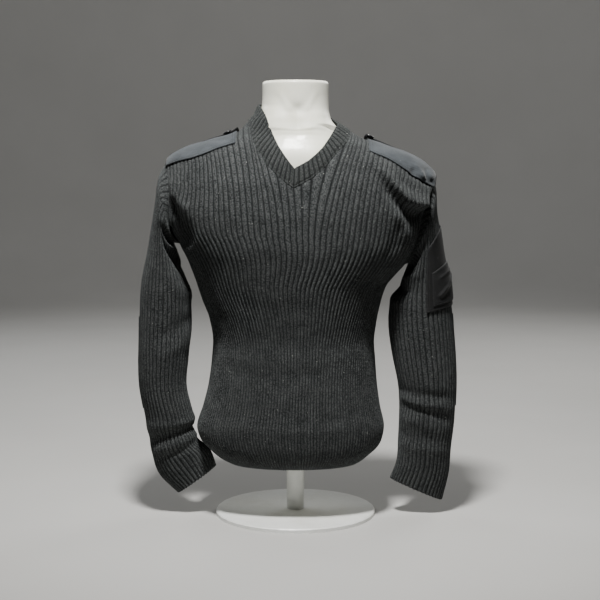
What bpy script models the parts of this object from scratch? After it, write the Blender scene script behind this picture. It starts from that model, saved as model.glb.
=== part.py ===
"""Army sweater on a torso dress form: a rib-knit pullover, worn by a limbless form on a post and base.

Metres. +X is the viewer's right, the front faces -Y and +Z is up. The origin is under the base's centre.
Sides in names are the wearer's, so the right sleeve is at -X.
"""

import bpy
import numpy as np

# Cloth
SEAM = 0.0003
BAND_SEAM = 0.0012
WALL = 0.0022
RIB = 0.0013
WOVEN = 0.0011
PATCH_LIFT = 0.0022

# Ribs and rows of the mesh
PANEL_RIBS = 64
PANEL_COLUMNS = 2 * PANEL_RIBS
NECK_COLUMNS = (42, 64, 90)
ARMHOLE_STEPS = (0.0, 0.12, 0.30, 0.52, 0.76, 1.0)
ARMHOLE_ROWS = len(ARMHOLE_STEPS) - 1
SLEEVE_COLUMNS = 60
SLEEVE_INNER = 20
RIB_STRETCH = 0.35

# Inner wall of a panel: every fourth column, and closer ones from before the neck to past it
INNER_STEP = 4
NECK_BEFORE = 7
NECK_PAST = 4
NECK_BEHIND = 10

# Panel rows above the underarm: how they reach the armhole, the shoulder seam and the neckline
EDGE_PULL = 4.5
EDGE_FADE = 6
EDGE_SHARES = (1.0, 0.6, 0.3)
UNDERARM_DIP = 0.008
UNDERARM_COLUMNS = 5
RIDGE_START = 0.05
RIDGE_BLEND = 0.05
RIDGE_EASE = 2
NECK_LEAN = 2.5
RIDGE_HEIGHTS = (0.60, 0.72)

# Body outline: height, half width on the wearer's right, from the middle of the form
RIGHT_OUTLINE = (
    (0.086, 0.040),
    (0.088, 0.080),
    (0.092, 0.108),
    (0.098, 0.120),
    (0.104, 0.132),
    (0.114, 0.146),
    (0.126, 0.1585),
    (0.139, 0.1705),
    (0.162, 0.177),
    (0.200, 0.166),
    (0.244, 0.155),
    (0.288, 0.149),
    (0.317, 0.147),
    (0.361, 0.154),
    (0.390, 0.165),
    (0.433, 0.179),
    (0.462, 0.189),
    (0.492, 0.206),
    (0.515, 0.224),
    (0.540, 0.2345),
    (0.570, 0.2375),
    (0.600, 0.2375),
    (0.625, 0.2340),
    (0.640, 0.2275),
    (0.6465, 0.2207),
    (0.6553, 0.2055),
    (0.6650, 0.1823),
    (0.6710, 0.1591),
    (0.6755, 0.1449),
    (0.6835, 0.1150),
    (0.6950, 0.0955),
    (0.7089, 0.0835),
    (0.7200, 0.0715),
    (0.7300, 0.0675),
    (0.7376, 0.0650),
    (0.7600, 0.0640),
    (0.8000, 0.0640),
)

# The same on the wearer's left, where the cloth is pulled down and out
LEFT_OUTLINE = (
    (0.086, 0.038),
    (0.088, 0.075),
    (0.092, 0.102),
    (0.098, 0.113),
    (0.104, 0.123),
    (0.114, 0.135),
    (0.126, 0.1480),
    (0.139, 0.1550),
    (0.162, 0.1590),
    (0.200, 0.1515),
    (0.244, 0.1455),
    (0.288, 0.1420),
    (0.317, 0.1399),
    (0.347, 0.1434),
    (0.390, 0.1521),
    (0.419, 0.1620),
    (0.435, 0.1750),
    (0.452, 0.1900),
    (0.465, 0.2005),
    (0.485, 0.2140),
    (0.510, 0.2275),
    (0.540, 0.2375),
    (0.570, 0.2445),
    (0.595, 0.2492),
    (0.610, 0.2480),
    (0.6175, 0.2445),
    (0.6321, 0.2310),
    (0.6430, 0.2145),
    (0.6527, 0.1935),
    (0.6608, 0.1690),
    (0.6680, 0.1500),
    (0.6760, 0.1250),
    (0.6840, 0.1085),
    (0.6887, 0.0995),
    (0.7042, 0.0760),
    (0.7150, 0.0675),
    (0.7300, 0.0645),
    (0.7600, 0.0640),
    (0.8000, 0.0640),
)

# Body depth: height, front depth, back depth, squareness of the section
DEPTHS = (
    (0.086, 0.025, 0.025, 2.2),
    (0.088, 0.050, 0.050, 2.2),
    (0.092, 0.069, 0.069, 2.2),
    (0.098, 0.082, 0.082, 2.2),
    (0.104, 0.092, 0.092, 2.2),
    (0.114, 0.100, 0.100, 2.2),
    (0.126, 0.1055, 0.106, 2.2),
    (0.139, 0.1085, 0.1095, 2.2),
    (0.162, 0.110, 0.111, 2.2),
    (0.200, 0.107, 0.106, 2.2),
    (0.244, 0.103, 0.099, 2.2),
    (0.288, 0.100, 0.094, 2.2),
    (0.317, 0.099, 0.092, 2.2),
    (0.361, 0.104, 0.095, 2.25),
    (0.390, 0.109, 0.098, 2.3),
    (0.433, 0.116, 0.1025, 2.4),
    (0.462, 0.1205, 0.1055, 2.5),
    (0.492, 0.1240, 0.1070, 2.6),
    (0.540, 0.1235, 0.1070, 2.6),
    (0.570, 0.1190, 0.1050, 2.6),
    (0.600, 0.1125, 0.1000, 2.6),
    (0.625, 0.1030, 0.0930, 2.6),
    (0.640, 0.0965, 0.0880, 2.6),
    (0.6550, 0.0885, 0.0825, 2.6),
    (0.6689, 0.0795, 0.0765, 2.6),
    (0.6795, 0.0725, 0.0715, 2.5),
    (0.6866, 0.0685, 0.0685, 2.4),
    (0.6950, 0.0655, 0.0665, 2.3),
    (0.7089, 0.0640, 0.0645, 2.2),
    (0.7376, 0.0635, 0.0635, 2.0),
    (0.8000, 0.0635, 0.0635, 2.0),
)

# Rows of the two panels: height at the wearer's right, height at the wearer's left
PANEL_ROWS = (
    (0.098, 0.098),
    (0.112, 0.112),
    (0.145, 0.145),
    (0.215, 0.210),
    (0.325, 0.305),
    (0.430, 0.398),
    (0.492, 0.452),
)

# Armhole: side, x at the shoulder tip, height of the underarm, height of the tip, half depth
RIGHT_ARMHOLE = (-1, -0.2207, 0.492, 0.6465, 0.061)
LEFT_ARMHOLE = (1, 0.2445, 0.452, 0.6175, 0.062)

# Neckline of the front, from the wearer's right neck point round the V to the left neck point: x, height
FRONT_NECKLINE = (
    (-0.0835, 0.7089),
    (-0.0800, 0.6960),
    (-0.0740, 0.6767),
    (-0.0666, 0.6613),
    (-0.0547, 0.6423),
    (-0.0436, 0.6253),
    (-0.0283, 0.6117),
    (-0.0111, 0.5972),
    (-0.0034, 0.5924),
    (0.0248, 0.6066),
    (0.0436, 0.6210),
    (0.0596, 0.6385),
    (0.0769, 0.6587),
    (0.0900, 0.6730),
    (0.0995, 0.6887),
)
V_POINT = 8

# Neckline of the back, the same way round: x, height
BACK_NECKLINE = (
    (-0.0835, 0.7089),
    (-0.0790, 0.7060),
    (-0.0650, 0.7025),
    (-0.0400, 0.6990),
    (0.0000, 0.6950),
    (0.0400, 0.6905),
    (0.0700, 0.6870),
    (0.0900, 0.6855),
    (0.0995, 0.6887),
)

# Inner edge of the neck band, in front and behind, the same way round: x, height
FRONT_BAND_EDGE = (
    (-0.0650, 0.7376),
    (-0.0543, 0.7191),
    (-0.0465, 0.7017),
    (-0.0398, 0.6836),
    (-0.0294, 0.6630),
    (-0.0180, 0.6457),
    (-0.0077, 0.6321),
    (-0.0017, 0.6254),
    (0.0111, 0.6321),
    (0.0231, 0.6389),
    (0.0354, 0.6492),
    (0.0475, 0.6612),
    (0.0601, 0.6787),
    (0.0760, 0.7042),
)
BAND_V_POINT = 7
BACK_BAND_EDGE = (
    (-0.0650, 0.7376),
    (-0.0560, 0.7385),
    (-0.0300, 0.7365),
    (0.0000, 0.7330),
    (0.0300, 0.7275),
    (0.0560, 0.7190),
    (0.0700, 0.7095),
    (0.0760, 0.7042),
)

# Sleeve rings from the armhole to the cuff: outer x, outer height, inner x, inner height, half depth
RIGHT_SLEEVE_RINGS = (
    (-0.2420, 0.6130, -0.2185, 0.4930, 0.066),
    (-0.2495, 0.5650, -0.2205, 0.4860, 0.066),
    (-0.2545, 0.5300, -0.2120, 0.4680, 0.064),
    (-0.2640, 0.4800, -0.2000, 0.4380, 0.062),
    (-0.2745, 0.4250, -0.1900, 0.3920, 0.060),
    (-0.2795, 0.3600, -0.1888, 0.3450, 0.057),
    (-0.2812, 0.2900, -0.1945, 0.2850, 0.054),
    (-0.2800, 0.2350, -0.1985, 0.2330, 0.050),
    (-0.2705, 0.1750, -0.1862, 0.1790, 0.044),
    (-0.2613, 0.1150, -0.1810, 0.1410, 0.036),
    (-0.2480, 0.0740, -0.1575, 0.1170, 0.029),
    (-0.2147, 0.0391, -0.1468, 0.0875, 0.022),
)
LEFT_SLEEVE_RINGS = (
    (0.2490, 0.5900, 0.2030, 0.4570, 0.067),
    (0.2510, 0.5550, 0.2035, 0.4480, 0.066),
    (0.2560, 0.5200, 0.1967, 0.4334, 0.062),
    (0.2640, 0.4700, 0.1850, 0.4120, 0.057),
    (0.2740, 0.4250, 0.1719, 0.3850, 0.053),
    (0.2810, 0.3650, 0.1690, 0.3450, 0.050),
    (0.2862, 0.3050, 0.1755, 0.2950, 0.048),
    (0.2889, 0.2400, 0.1860, 0.2400, 0.045),
    (0.2878, 0.1800, 0.1896, 0.1950, 0.041),
    (0.2812, 0.1264, 0.1875, 0.1350, 0.036),
    (0.2790, 0.0780, 0.1850, 0.0960, 0.029),
    (0.2660, 0.0261, 0.1743, 0.0652, 0.021),
)
SLEEVE_SQUARENESS = 2.15

# The sag over the wearer's left shoulder: x, height of its lip, and how far the lip stands out
SAG_LIP = (
    (0.120, 0.632, 0.000),
    (0.140, 0.622, 0.003),
    (0.160, 0.604, 0.006),
    (0.178, 0.582, 0.009),
    (0.190, 0.568, 0.010),
    (0.214, 0.562, 0.008),
    (0.240, 0.566, 0.005),
)
SAG_ABOVE = 0.020
SAG_BELOW = 0.012
SAG_FADE = 16

# Shoulder patches: x, height of the front edge
RIGHT_PATCH_EDGE = (
    (-0.2250, 0.6280),
    (-0.1962, 0.6385),
    (-0.1787, 0.6424),
    (-0.1560, 0.6502),
    (-0.1315, 0.6600),
    (-0.0900, 0.6720),
)
LEFT_PATCH_EDGE = (
    (0.1000, 0.6680),
    (0.1410, 0.6476),
    (0.1543, 0.6424),
    (0.1799, 0.6280),
    (0.2023, 0.6150),
    (0.2450, 0.5930),
)
PATCH_START = 3.92
PATCH_BACK_ROW = 3.7
PATCH_COLUMNS = (2, 4, 6, 8, 12, 16, 20, 24, 28, 32, 34)

# Shoulder straps, on the back panel's rows just behind the shoulder seam
STRAP_ROWS = (4.94, 4.62, 4.28)
STRAP_COLUMNS = (2, 4, 6, 8, 12, 16, 20, 24, 28, 32, 36)
STRAP_LIFT = 0.0045
STRAP_THICK = 0.0016
BUTTON_RADIUS = 0.0085
BUTTON_THICK = 0.0028
BUTTON_GAP = 0.0006
BUTTON_COLUMN = 31

# Button from its underside to its dished top: share of the radius, share of the thickness
BUTTON_PROFILE = (
    (0.92, 0.0),
    (1.0, 0.3),
    (0.92, 1.0),
    (0.7, 0.75),
)

# Sleeve patches: first ring and last ring, first column and last column round the sleeve
ELBOW = (6.0, 8.7, 30, 52)
POCKET = (2.9, 5.7, 16, 38)
PEN_POCKET = (4.2, 5.55, 18, 36)
RING_MARGIN = 0.15

# Form and stand
FORM_CLEARANCE = (
    (0.08, 0.0045),
    (0.15, 0.0050),
    (0.30, 0.0040),
    (0.42, 0.0070),
    (0.50, 0.0100),
    (0.58, 0.0095),
    (0.65, 0.0085),
    (0.69, 0.0040),
    (0.72, 0.0032),
)
SHOULDER_CLEARANCE = 0.0100
SHOULDER_HEIGHTS = (0.5, 0.70)
SHOULDER_TILT = 0.3
SHOULDER_BLEND = 0.4
FORM_COLUMNS = 28
FORM_ROWS = (
    0.0872, 0.096, 0.112, 0.145, 0.213, 0.308, 0.395, 0.450, 0.490, 0.530,
    0.570, 0.605, 0.632, 0.652, 0.668, 0.682, 0.695, 0.708, 0.722, 0.750,
)
NECK_TOP = 0.7790
NECK_ROUND = 0.0040
POST_RADIUS = 0.0160
BASE_RADIUS = 0.1450
BASE_THICK = 0.0080
BASE_BEVEL = 0.0020

KNIT = ("rib_knit", (0.045, 0.048, 0.048), 0.95, 0.0)
TWILL = ("woven_twill", (0.120, 0.135, 0.145), 0.85, 0.0)
DARK_TWILL = ("dark_twill", (0.022, 0.018, 0.020), 0.85, 0.0)
BUTTON = ("black_button", (0.012, 0.012, 0.013), 0.35, 0.0)
FORM = ("white_gloss", (0.780, 0.790, 0.740), 0.25, 0.0)
STEEL = ("white_paint", (0.700, 0.710, 0.700), 0.35, 0.0)


def curve(table, column, at):
    """Smooth curve through one column of a table, without overshoot."""
    rows = np.array(table)
    x, y = rows[:, 0], rows[:, column]
    at = np.clip(np.asarray(at, float), x[0], x[-1])
    step = np.diff(x)
    slope = np.diff(y) / step
    tangent = np.zeros(len(x))
    tangent[0], tangent[-1] = slope[0], slope[-1]
    same = slope[:-1] * slope[1:] > 0
    mean = 2 * slope[:-1] * slope[1:] / np.where(same, slope[:-1] + slope[1:], 1.0)
    tangent[1:-1] = np.where(same, mean, 0.0)
    i = np.clip(np.searchsorted(x, at) - 1, 0, len(step) - 1)
    t = (at - x[i]) / step[i]
    near = (1 + 2 * t) * (1 - t) ** 2 * y[i] + t * (1 - t) ** 2 * step[i] * tangent[i]
    far = t * t * (3 - 2 * t) * y[i + 1] + t * t * (t - 1) * step[i] * tangent[i + 1]
    return near + far


def half_width(x, z):
    return np.where(np.asarray(x) < 0, curve(RIGHT_OUTLINE, 1, z), curve(LEFT_OUTLINE, 1, z))


def depth(side, z):
    return curve(DEPTHS, 1 if side < 0 else 2, z)


def body_y(side, x, z):
    """Y of the body's surface at x and z; side is -1 in front and 1 behind."""
    square = curve(DEPTHS, 3, z)
    inside = np.clip(1 - (np.abs(x) / half_width(x, z)) ** square, 0.0, 1.0)
    return side * depth(side, z) * inside ** (1 / square)


def level(side, x, y, z):
    square = curve(DEPTHS, 3, z)
    return (np.abs(x) / half_width(x, z)) ** square + (np.abs(y) / depth(side, z)) ** square - 1


def onto_body(side, points):
    """Points moved out level to the body's surface."""
    square = curve(DEPTHS, 3, points[:, 2])
    reach = (level(side, points[:, 0], points[:, 1], points[:, 2]) + 1) ** (1 / square)
    moved = points.copy()
    moved[:, :2] /= reach[:, None]
    return moved


def body_normal(side, points):
    """Unit normals of the body's surface."""
    x, y, z = points[..., 0], points[..., 1], points[..., 2]
    step = 0.0004
    square = curve(DEPTHS, 3, z)
    width = half_width(x, z)
    deep = depth(side, z)
    gradient = np.stack(
        (
            np.sign(x) * square / width * (np.abs(x) / width) ** (square - 1),
            np.sign(y) * square / deep * (np.abs(y) / deep) ** (square - 1),
            (level(side, x, y, z + step) - level(side, x, y, z - step)) / (2 * step),
        ),
        axis=-1,
    )
    return gradient / np.linalg.norm(gradient, axis=-1, keepdims=True)


def arc_positions(side, z, fractions):
    """X and Y at fractions of the body section's length at height z, from the wearer's right."""
    turn = np.linspace(0.0, np.pi, 361)
    square = float(curve(DEPTHS, 3, z))
    across = np.sign(-np.cos(turn)) * np.abs(np.cos(turn)) ** (2 / square)
    x = across * np.where(across < 0, curve(RIGHT_OUTLINE, 1, z), curve(LEFT_OUTLINE, 1, z))
    y = side * float(depth(side, z)) * np.sin(turn) ** (2 / square)
    length = np.concatenate(([0.0], np.cumsum(np.hypot(np.diff(x), np.diff(y)))))
    want = np.asarray(fractions) * length[-1]
    return np.interp(want, length, x), np.interp(want, length, y)


def even_path(side, table, count):
    """Points evenly spaced along a neckline table laid on the body."""
    rows = np.array(table)
    fine = np.linspace(0, len(rows) - 1, 40 * (len(rows) - 1) + 1)
    x = np.interp(fine, np.arange(len(rows)), rows[:, 0])
    z = np.interp(fine, np.arange(len(rows)), rows[:, 1])
    points = np.stack((x, body_y(side, x, z), z), axis=-1)
    length = np.concatenate(([0.0], np.cumsum(np.linalg.norm(np.diff(points, axis=0), axis=1))))
    want = np.linspace(0, length[-1], count + 1)
    x, z = np.interp(want, length, x), np.interp(want, length, z)
    return np.stack((x, body_y(side, x, z), z), axis=-1)


def ridge_path(tip_x, neck_x, outline, count):
    """Points along the shoulder seam from the armhole to the neck."""
    z = np.linspace(*RIDGE_HEIGHTS, 1201)
    width = curve(outline, 1, z)
    across = np.linspace(abs(tip_x), abs(neck_x), 200)
    down = width[::-1]
    height = np.interp(across, down, z[::-1])
    length = np.concatenate(([0.0], np.cumsum(np.hypot(np.diff(across), np.diff(height)))))
    want = np.linspace(0, length[-1], count + 1)
    x = np.interp(want, length, across) * np.sign(tip_x)
    return np.stack((x, 0 * x, np.interp(want, length, height)), axis=-1)


def top_edge(side):
    """Top of each panel column: shoulder seam, neckline, shoulder seam."""
    first, middle, last = NECK_COLUMNS
    right = ridge_path(RIGHT_ARMHOLE[1], FRONT_NECKLINE[0][0], RIGHT_OUTLINE, first)
    left = ridge_path(LEFT_ARMHOLE[1], FRONT_NECKLINE[-1][0], LEFT_OUTLINE, PANEL_COLUMNS - last)
    if side < 0:
        one = even_path(side, FRONT_NECKLINE[: V_POINT + 1], middle - first)
        two = even_path(side, FRONT_NECKLINE[V_POINT:], last - middle)
        neck = np.concatenate((one, two[1:]))
    else:
        neck = even_path(side, BACK_NECKLINE, last - first)
    neck[0, 1] = neck[-1, 1] = 0.0
    return np.concatenate((right, neck[1:-1], left[::-1]))


def armhole_edge(side, armhole):
    """Armhole from the underarm to the shoulder tip at its steps."""
    hand, _, low, high, half_depth = armhole
    q = np.linspace(0.0, 1.0, 401)
    fine = armhole_points(side, hand, low, high, half_depth, q)
    length = np.concatenate(([0.0], np.cumsum(np.linalg.norm(np.diff(fine, axis=0), axis=1))))
    at = np.interp(np.array(ARMHOLE_STEPS) * length[-1], length, q)
    return armhole_points(side, hand, low, high, half_depth, at)


def armhole_points(side, hand, low, high, half_depth, q):
    z = low + (high - low) * (1 - np.cos(np.pi * q)) / 2
    y = side * half_depth * np.sin(np.pi * q)
    square = curve(DEPTHS, 3, z)
    x = hand * half_width(hand, z) * (1 - (np.abs(y) / depth(side, z)) ** square) ** (1 / square)
    return np.stack((x, np.where(np.abs(y) < 1e-9, 0.0, y), z), axis=-1)


def sag(points):
    """How far the sag over the left shoulder moves the front out from the body."""
    x, z = points[..., 0], points[..., 2]
    lip = curve(SAG_LIP, 1, x)
    out = curve(SAG_LIP, 2, x)
    away = z - lip
    reach = np.where(away > 0, SAG_ABOVE, SAG_BELOW)
    return np.where(x > SAG_LIP[0][0], out * np.exp(-((away / reach) ** 2)), 0.0)


def panel_grid(side):
    """Points and normals of a panel's cloth: rows from the hem up, columns from the wearer's right."""
    count = PANEL_COLUMNS
    u = np.linspace(0.0, 1.0, count + 1)
    ease = u * u * (3 - 2 * u)
    stretched = u - RIB_STRETCH * np.sin(2 * np.pi * u) / (2 * np.pi)
    rows = []
    low = PANEL_ROWS[0][0]
    high = PANEL_ROWS[-1][0]
    from_edge = np.minimum(u, 1 - u) * count / UNDERARM_COLUMNS
    dip = UNDERARM_DIP * from_edge * np.exp(1 - from_edge)
    for right_z, left_z in PANEL_ROWS:
        z = right_z + (left_z - right_z) * ease - dip * (right_z == high)
        share = np.clip((right_z - low) / (high - low), 0, 1)
        fractions = u + (stretched - u) * share
        row = [(*arc_positions(side, z[k], fractions[k]), z[k]) for k in range(count + 1)]
        rows.append(np.array(row))
        rows[-1][[0, -1], 1] = 0.0
    base = rows[-1]
    top = top_edge(side)
    right = armhole_edge(side, RIGHT_ARMHOLE)
    left = armhole_edge(side, LEFT_ARMHOLE)
    near_ridge = np.clip((np.abs(top[:, 0]) - RIDGE_START) / RIDGE_BLEND, 0, 1)
    pull_right, pull_left = ((1 - u) ** EDGE_PULL)[:, None], (u ** EDGE_PULL)[:, None]
    for i in range(1, ARMHOLE_ROWS):
        t = ARMHOLE_STEPS[i]
        over_ridge = (1 - (1 - t) ** RIDGE_EASE) * near_ridge
        rise = t * (1 - near_ridge) + over_ridge
        lean = t ** NECK_LEAN * (1 - near_ridge) + over_ridge
        x = base[:, 0] + (top[:, 0] - base[:, 0]) * lean
        z = base[:, 2] + (top[:, 2] - base[:, 2]) * rise
        row = np.stack((x, body_y(side, x, z), z), axis=-1)
        row = row + pull_right * (right[i] - row[0]) + pull_left * (left[i] - row[-1])
        rows.append(onto_body(side, row))
    top[0], top[-1] = right[-1], left[-1]
    rows.append(top)
    points = np.array(rows)
    normals = body_normal(side, points)
    if side < 0:
        fade = 1 - np.abs(2 * u - 1) ** SAG_FADE
        points = points + normals * (sag(points) * fade)[..., None]
    return points + np.array((0.0, side * SEAM / 2, 0.0)), normals


def inner_columns(side):
    """Panel columns that the plain inside keeps: every fourth, and closer ones round the neck."""
    first, middle, last = NECK_COLUMNS
    extra = {1, 2, PANEL_COLUMNS - 2, PANEL_COLUMNS - 1}
    reach = middle - first if side < 0 else NECK_BEHIND
    near_neck = set(range(first - NECK_BEFORE, first)) | set(range(first, first + reach + 1, 2))
    near_neck |= set(range(last - reach - NECK_PAST, last + NECK_PAST, 2))
    return sorted(set(range(0, PANEL_COLUMNS + 1, INNER_STEP)) | extra | near_neck)


def clear_scene():
    for thing in list(bpy.data.objects):
        bpy.data.objects.remove(thing, do_unlink=True)


def material(spec):
    name, colour, roughness, metallic = spec
    found = bpy.data.materials.get(name)
    if found:
        return found
    made = bpy.data.materials.new(name)
    made.use_nodes = True
    shader = made.node_tree.nodes["Principled BSDF"]
    shader.inputs["Base Color"].default_value = (*colour, 1.0)
    shader.inputs["Roughness"].default_value = roughness
    shader.inputs["Metallic"].default_value = metallic
    made.diffuse_color = (*colour, 1.0)
    return made


def volume(points, faces):
    triangles = points[np.array(faces)]
    return float(np.einsum("ij,ij->i", triangles[:, 0], np.cross(triangles[:, 1], triangles[:, 2])).sum()) / 6


def add_solid(name, points, faces, spec):
    """One closed object from points and triangles, facing outward and shaded smooth."""
    points = np.asarray(points, float)
    if volume(points, faces) < 0:
        faces = [face[::-1] for face in faces]
    mesh = bpy.data.meshes.new(name)
    mesh.from_pydata([tuple(p) for p in points], [], [tuple(face) for face in faces])
    mesh.materials.append(material(spec))
    mesh.shade_smooth()
    made = bpy.data.objects.new(name, mesh)
    bpy.context.scene.collection.objects.link(made)
    return made


def strip(first, first_at, second, second_at):
    """Triangles between two lines of point numbers, each with its own spacing."""
    faces = []
    i = j = 0
    while i < len(first) - 1 or j < len(second) - 1:
        last = j == len(second) - 1
        halfway = first_at[-1] if last else (second_at[j] + second_at[j + 1]) / 2
        if last or (i < len(first) - 1 and first_at[i + 1] <= halfway + 1e-9):
            faces.append((first[i], first[i + 1], second[j]))
            i += 1
        else:
            faces.append((first[i], second[j + 1], second[j]))
            j += 1
    return faces


def quads(numbers):
    faces = []
    for row in range(numbers.shape[0] - 1):
        for column in range(numbers.shape[1] - 1):
            a, b = numbers[row, column], numbers[row, column + 1]
            c, d = numbers[row + 1, column + 1], numbers[row + 1, column]
            faces += [(a, b, c), (a, c, d)]
    return faces


def sheet_solid(name, outer, inner, kept, spec):
    """A wall between an outer grid and an inner grid that keeps only some columns."""
    rows, columns = outer.shape[:2]
    top = np.arange(rows * columns).reshape(rows, columns)
    under = rows * columns + np.arange(rows * len(kept)).reshape(rows, len(kept))
    points = np.concatenate((outer.reshape(-1, 3), inner.reshape(-1, 3)))
    faces = quads(top) + [face[::-1] for face in quads(under)]
    at = list(range(columns))
    for row, flip in ((0, True), (rows - 1, False)):
        join = strip(list(top[row]), at, list(under[row]), list(kept))
        faces += [face[::-1] for face in join] if flip else join
    every = list(range(rows))
    for column, below, flip in ((0, 0, False), (columns - 1, len(kept) - 1, True)):
        join = strip(list(top[:, column]), every, list(under[:, below]), every)
        faces += [face[::-1] for face in join] if flip else join
    return add_solid(name, points, faces, spec)


def tube_solid(name, outer, inner, outer_at, inner_at, spec):
    """A wall between two closed rings of columns, open at both ends."""
    rows = outer.shape[0]
    top = np.arange(rows * outer.shape[1]).reshape(rows, -1)
    under = rows * outer.shape[1] + np.arange(rows * inner.shape[1]).reshape(rows, -1)
    points = np.concatenate((outer.reshape(-1, 3), inner.reshape(-1, 3)))
    top = np.concatenate((top, top[:, :1]), axis=1)
    under = np.concatenate((under, under[:, :1]), axis=1)
    faces = quads(top) + [face[::-1] for face in quads(under)]
    for row, flip in ((0, True), (rows - 1, False)):
        join = strip(list(top[row]), list(outer_at) + [1.0], list(under[row]), list(inner_at) + [1.0])
        faces += [face[::-1] for face in join] if flip else join
    return add_solid(name, points, faces, spec)


def ribbed(points, normals, fade=1.0):
    """Points with every second column raised to a rib."""
    raised = (np.arange(points.shape[1]) % 2) * RIB * fade
    return points + normals * raised[None, :, None]


def build_panel(name, side, panel):
    points, normals = panel
    kept = inner_columns(side)
    column = np.arange(PANEL_COLUMNS + 1)
    fade = np.clip(np.minimum(column, PANEL_COLUMNS - column) / EDGE_FADE, 0, 1)
    outer = ribbed(points, normals, fade)
    inner = points[:, kept] - normals[:, kept] * WALL
    sheet_solid(name, outer, inner, kept, KNIT)


def edge_line(front, back, column):
    """Armhole edge from the underarm over the shoulder tip and down behind, with its normals."""
    first = len(PANEL_ROWS) - 1
    (front_points, front_normals), (back_points, back_normals) = front, back
    line = np.concatenate((front_points[first:, column], back_points[first + 1:-1, column][::-1]))
    normals = np.concatenate((front_normals[first:, column], back_normals[first + 1:-1, column][::-1]))
    line[[0, ARMHOLE_ROWS], 1] = 0.0
    normals[[0, ARMHOLE_ROWS], 1] = 0.0
    return line, normals


def share_seam(front, back, column, rings):
    """Turn the panels' walls at the armhole halfway towards the sleeve's, and return the seam."""
    line, normals = edge_line(front, back, column)
    turn = np.arange(len(line)) / len(line)
    ring = ring_at(rings, 1.0, turn)
    tangent = np.roll(line, -1, axis=0) - np.roll(line, 1, axis=0)
    start = np.cross(tangent, ring - line)
    start /= np.linalg.norm(start, axis=1, keepdims=True)
    outward = np.sign(((ring - ring.mean(axis=0)) * start).sum(axis=1))
    shared = normals + start * outward[:, None]
    shared /= np.linalg.norm(shared, axis=1, keepdims=True)
    first = len(PANEL_ROWS) - 1
    inward = 1 if column == 0 else -1
    back_edge = np.concatenate((shared[:1], shared[ARMHOLE_ROWS:][::-1]))
    for panel, edge in ((front, shared[:ARMHOLE_ROWS + 1]), (back, back_edge)):
        for away, share in enumerate(EDGE_SHARES):
            near = panel[1][first:, column + inward * away]
            near += (edge - near) * share
            near /= np.linalg.norm(near, axis=1, keepdims=True)
    return line, shared


def subdivide(line, pieces):
    """Each segment of a closed line cut into equal pieces."""
    closed = np.concatenate((line, line[:1]))
    shares = np.arange(pieces)[:, None] / pieces
    parts = [closed[i] + (closed[i + 1] - closed[i]) * shares for i in range(len(line))]
    return np.concatenate(parts)


def ring_at(rings, s, turn):
    """Point of the sleeve at ring s, counted from 1, and a turn from the underarm round the front."""
    rows = np.array(rings)
    low = int(np.clip(np.floor(s) - 1, 0, len(rows) - 2))
    part = s - 1 - low
    row = rows[low] * (1 - part) + rows[low + 1] * part
    outer = np.array((row[0], 0.0, row[1]))
    inner = np.array((row[2], 0.0, row[3]))
    angle = 2 * np.pi * np.asarray(turn)
    power = 2 / SLEEVE_SQUARENESS
    along = np.sign(-np.cos(angle)) * np.abs(np.cos(angle)) ** power
    across = -np.sign(np.sin(angle)) * np.abs(np.sin(angle)) ** power
    middle = (outer + inner) / 2
    return middle + along[..., None] * (outer - inner) / 2 + across[..., None] * np.array((0.0, row[4], 0.0))


def tube_normals(points):
    """Outward normals of a grid of closed rings."""
    round_way = np.roll(points, -1, axis=1) - np.roll(points, 1, axis=1)
    down_way = np.gradient(points, axis=0)
    normals = np.cross(round_way, down_way)
    normals /= np.linalg.norm(normals, axis=-1, keepdims=True)
    outward = points - points.mean(axis=1, keepdims=True)
    if (normals * outward).sum() < 0:
        normals = -normals
    return normals


def sleeve_grid(rings, line, line_normals, columns):
    """Sleeve cloth: first ring beside the armhole edge, then the rings of the table."""
    pieces = columns // len(line)
    edge = subdivide(line, pieces)
    edge_normals = subdivide(line_normals, pieces)
    edge_normals /= np.linalg.norm(edge_normals, axis=1, keepdims=True)
    tangent = np.roll(edge, -1, axis=0) - np.roll(edge, 1, axis=0)
    away = np.cross(tangent, edge_normals)
    away /= np.linalg.norm(away, axis=1, keepdims=True)
    turn = np.arange(columns) / columns
    first = ring_at(rings, 1.0, turn)
    if ((first - edge) * away).sum() < 0:
        away = -away
    grid = [edge + away * SEAM]
    grid += [ring_at(rings, s, turn) for s in range(1, len(rings) + 1)]
    grid = np.array(grid)
    normals = tube_normals(grid)
    normals[0] = edge_normals
    return grid, normals


def build_sleeve(name, rings, line, line_normals):
    points, normals = sleeve_grid(rings, line, line_normals, SLEEVE_COLUMNS)
    step = SLEEVE_COLUMNS // SLEEVE_INNER
    kept = np.arange(0, SLEEVE_COLUMNS, step)
    outer = ribbed(points, normals)
    inner = points[:, kept] - normals[:, kept] * WALL
    at = np.arange(SLEEVE_COLUMNS) / SLEEVE_COLUMNS
    tube_solid(name, outer, inner, at, at[kept], KNIT)
    return points, normals


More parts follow.
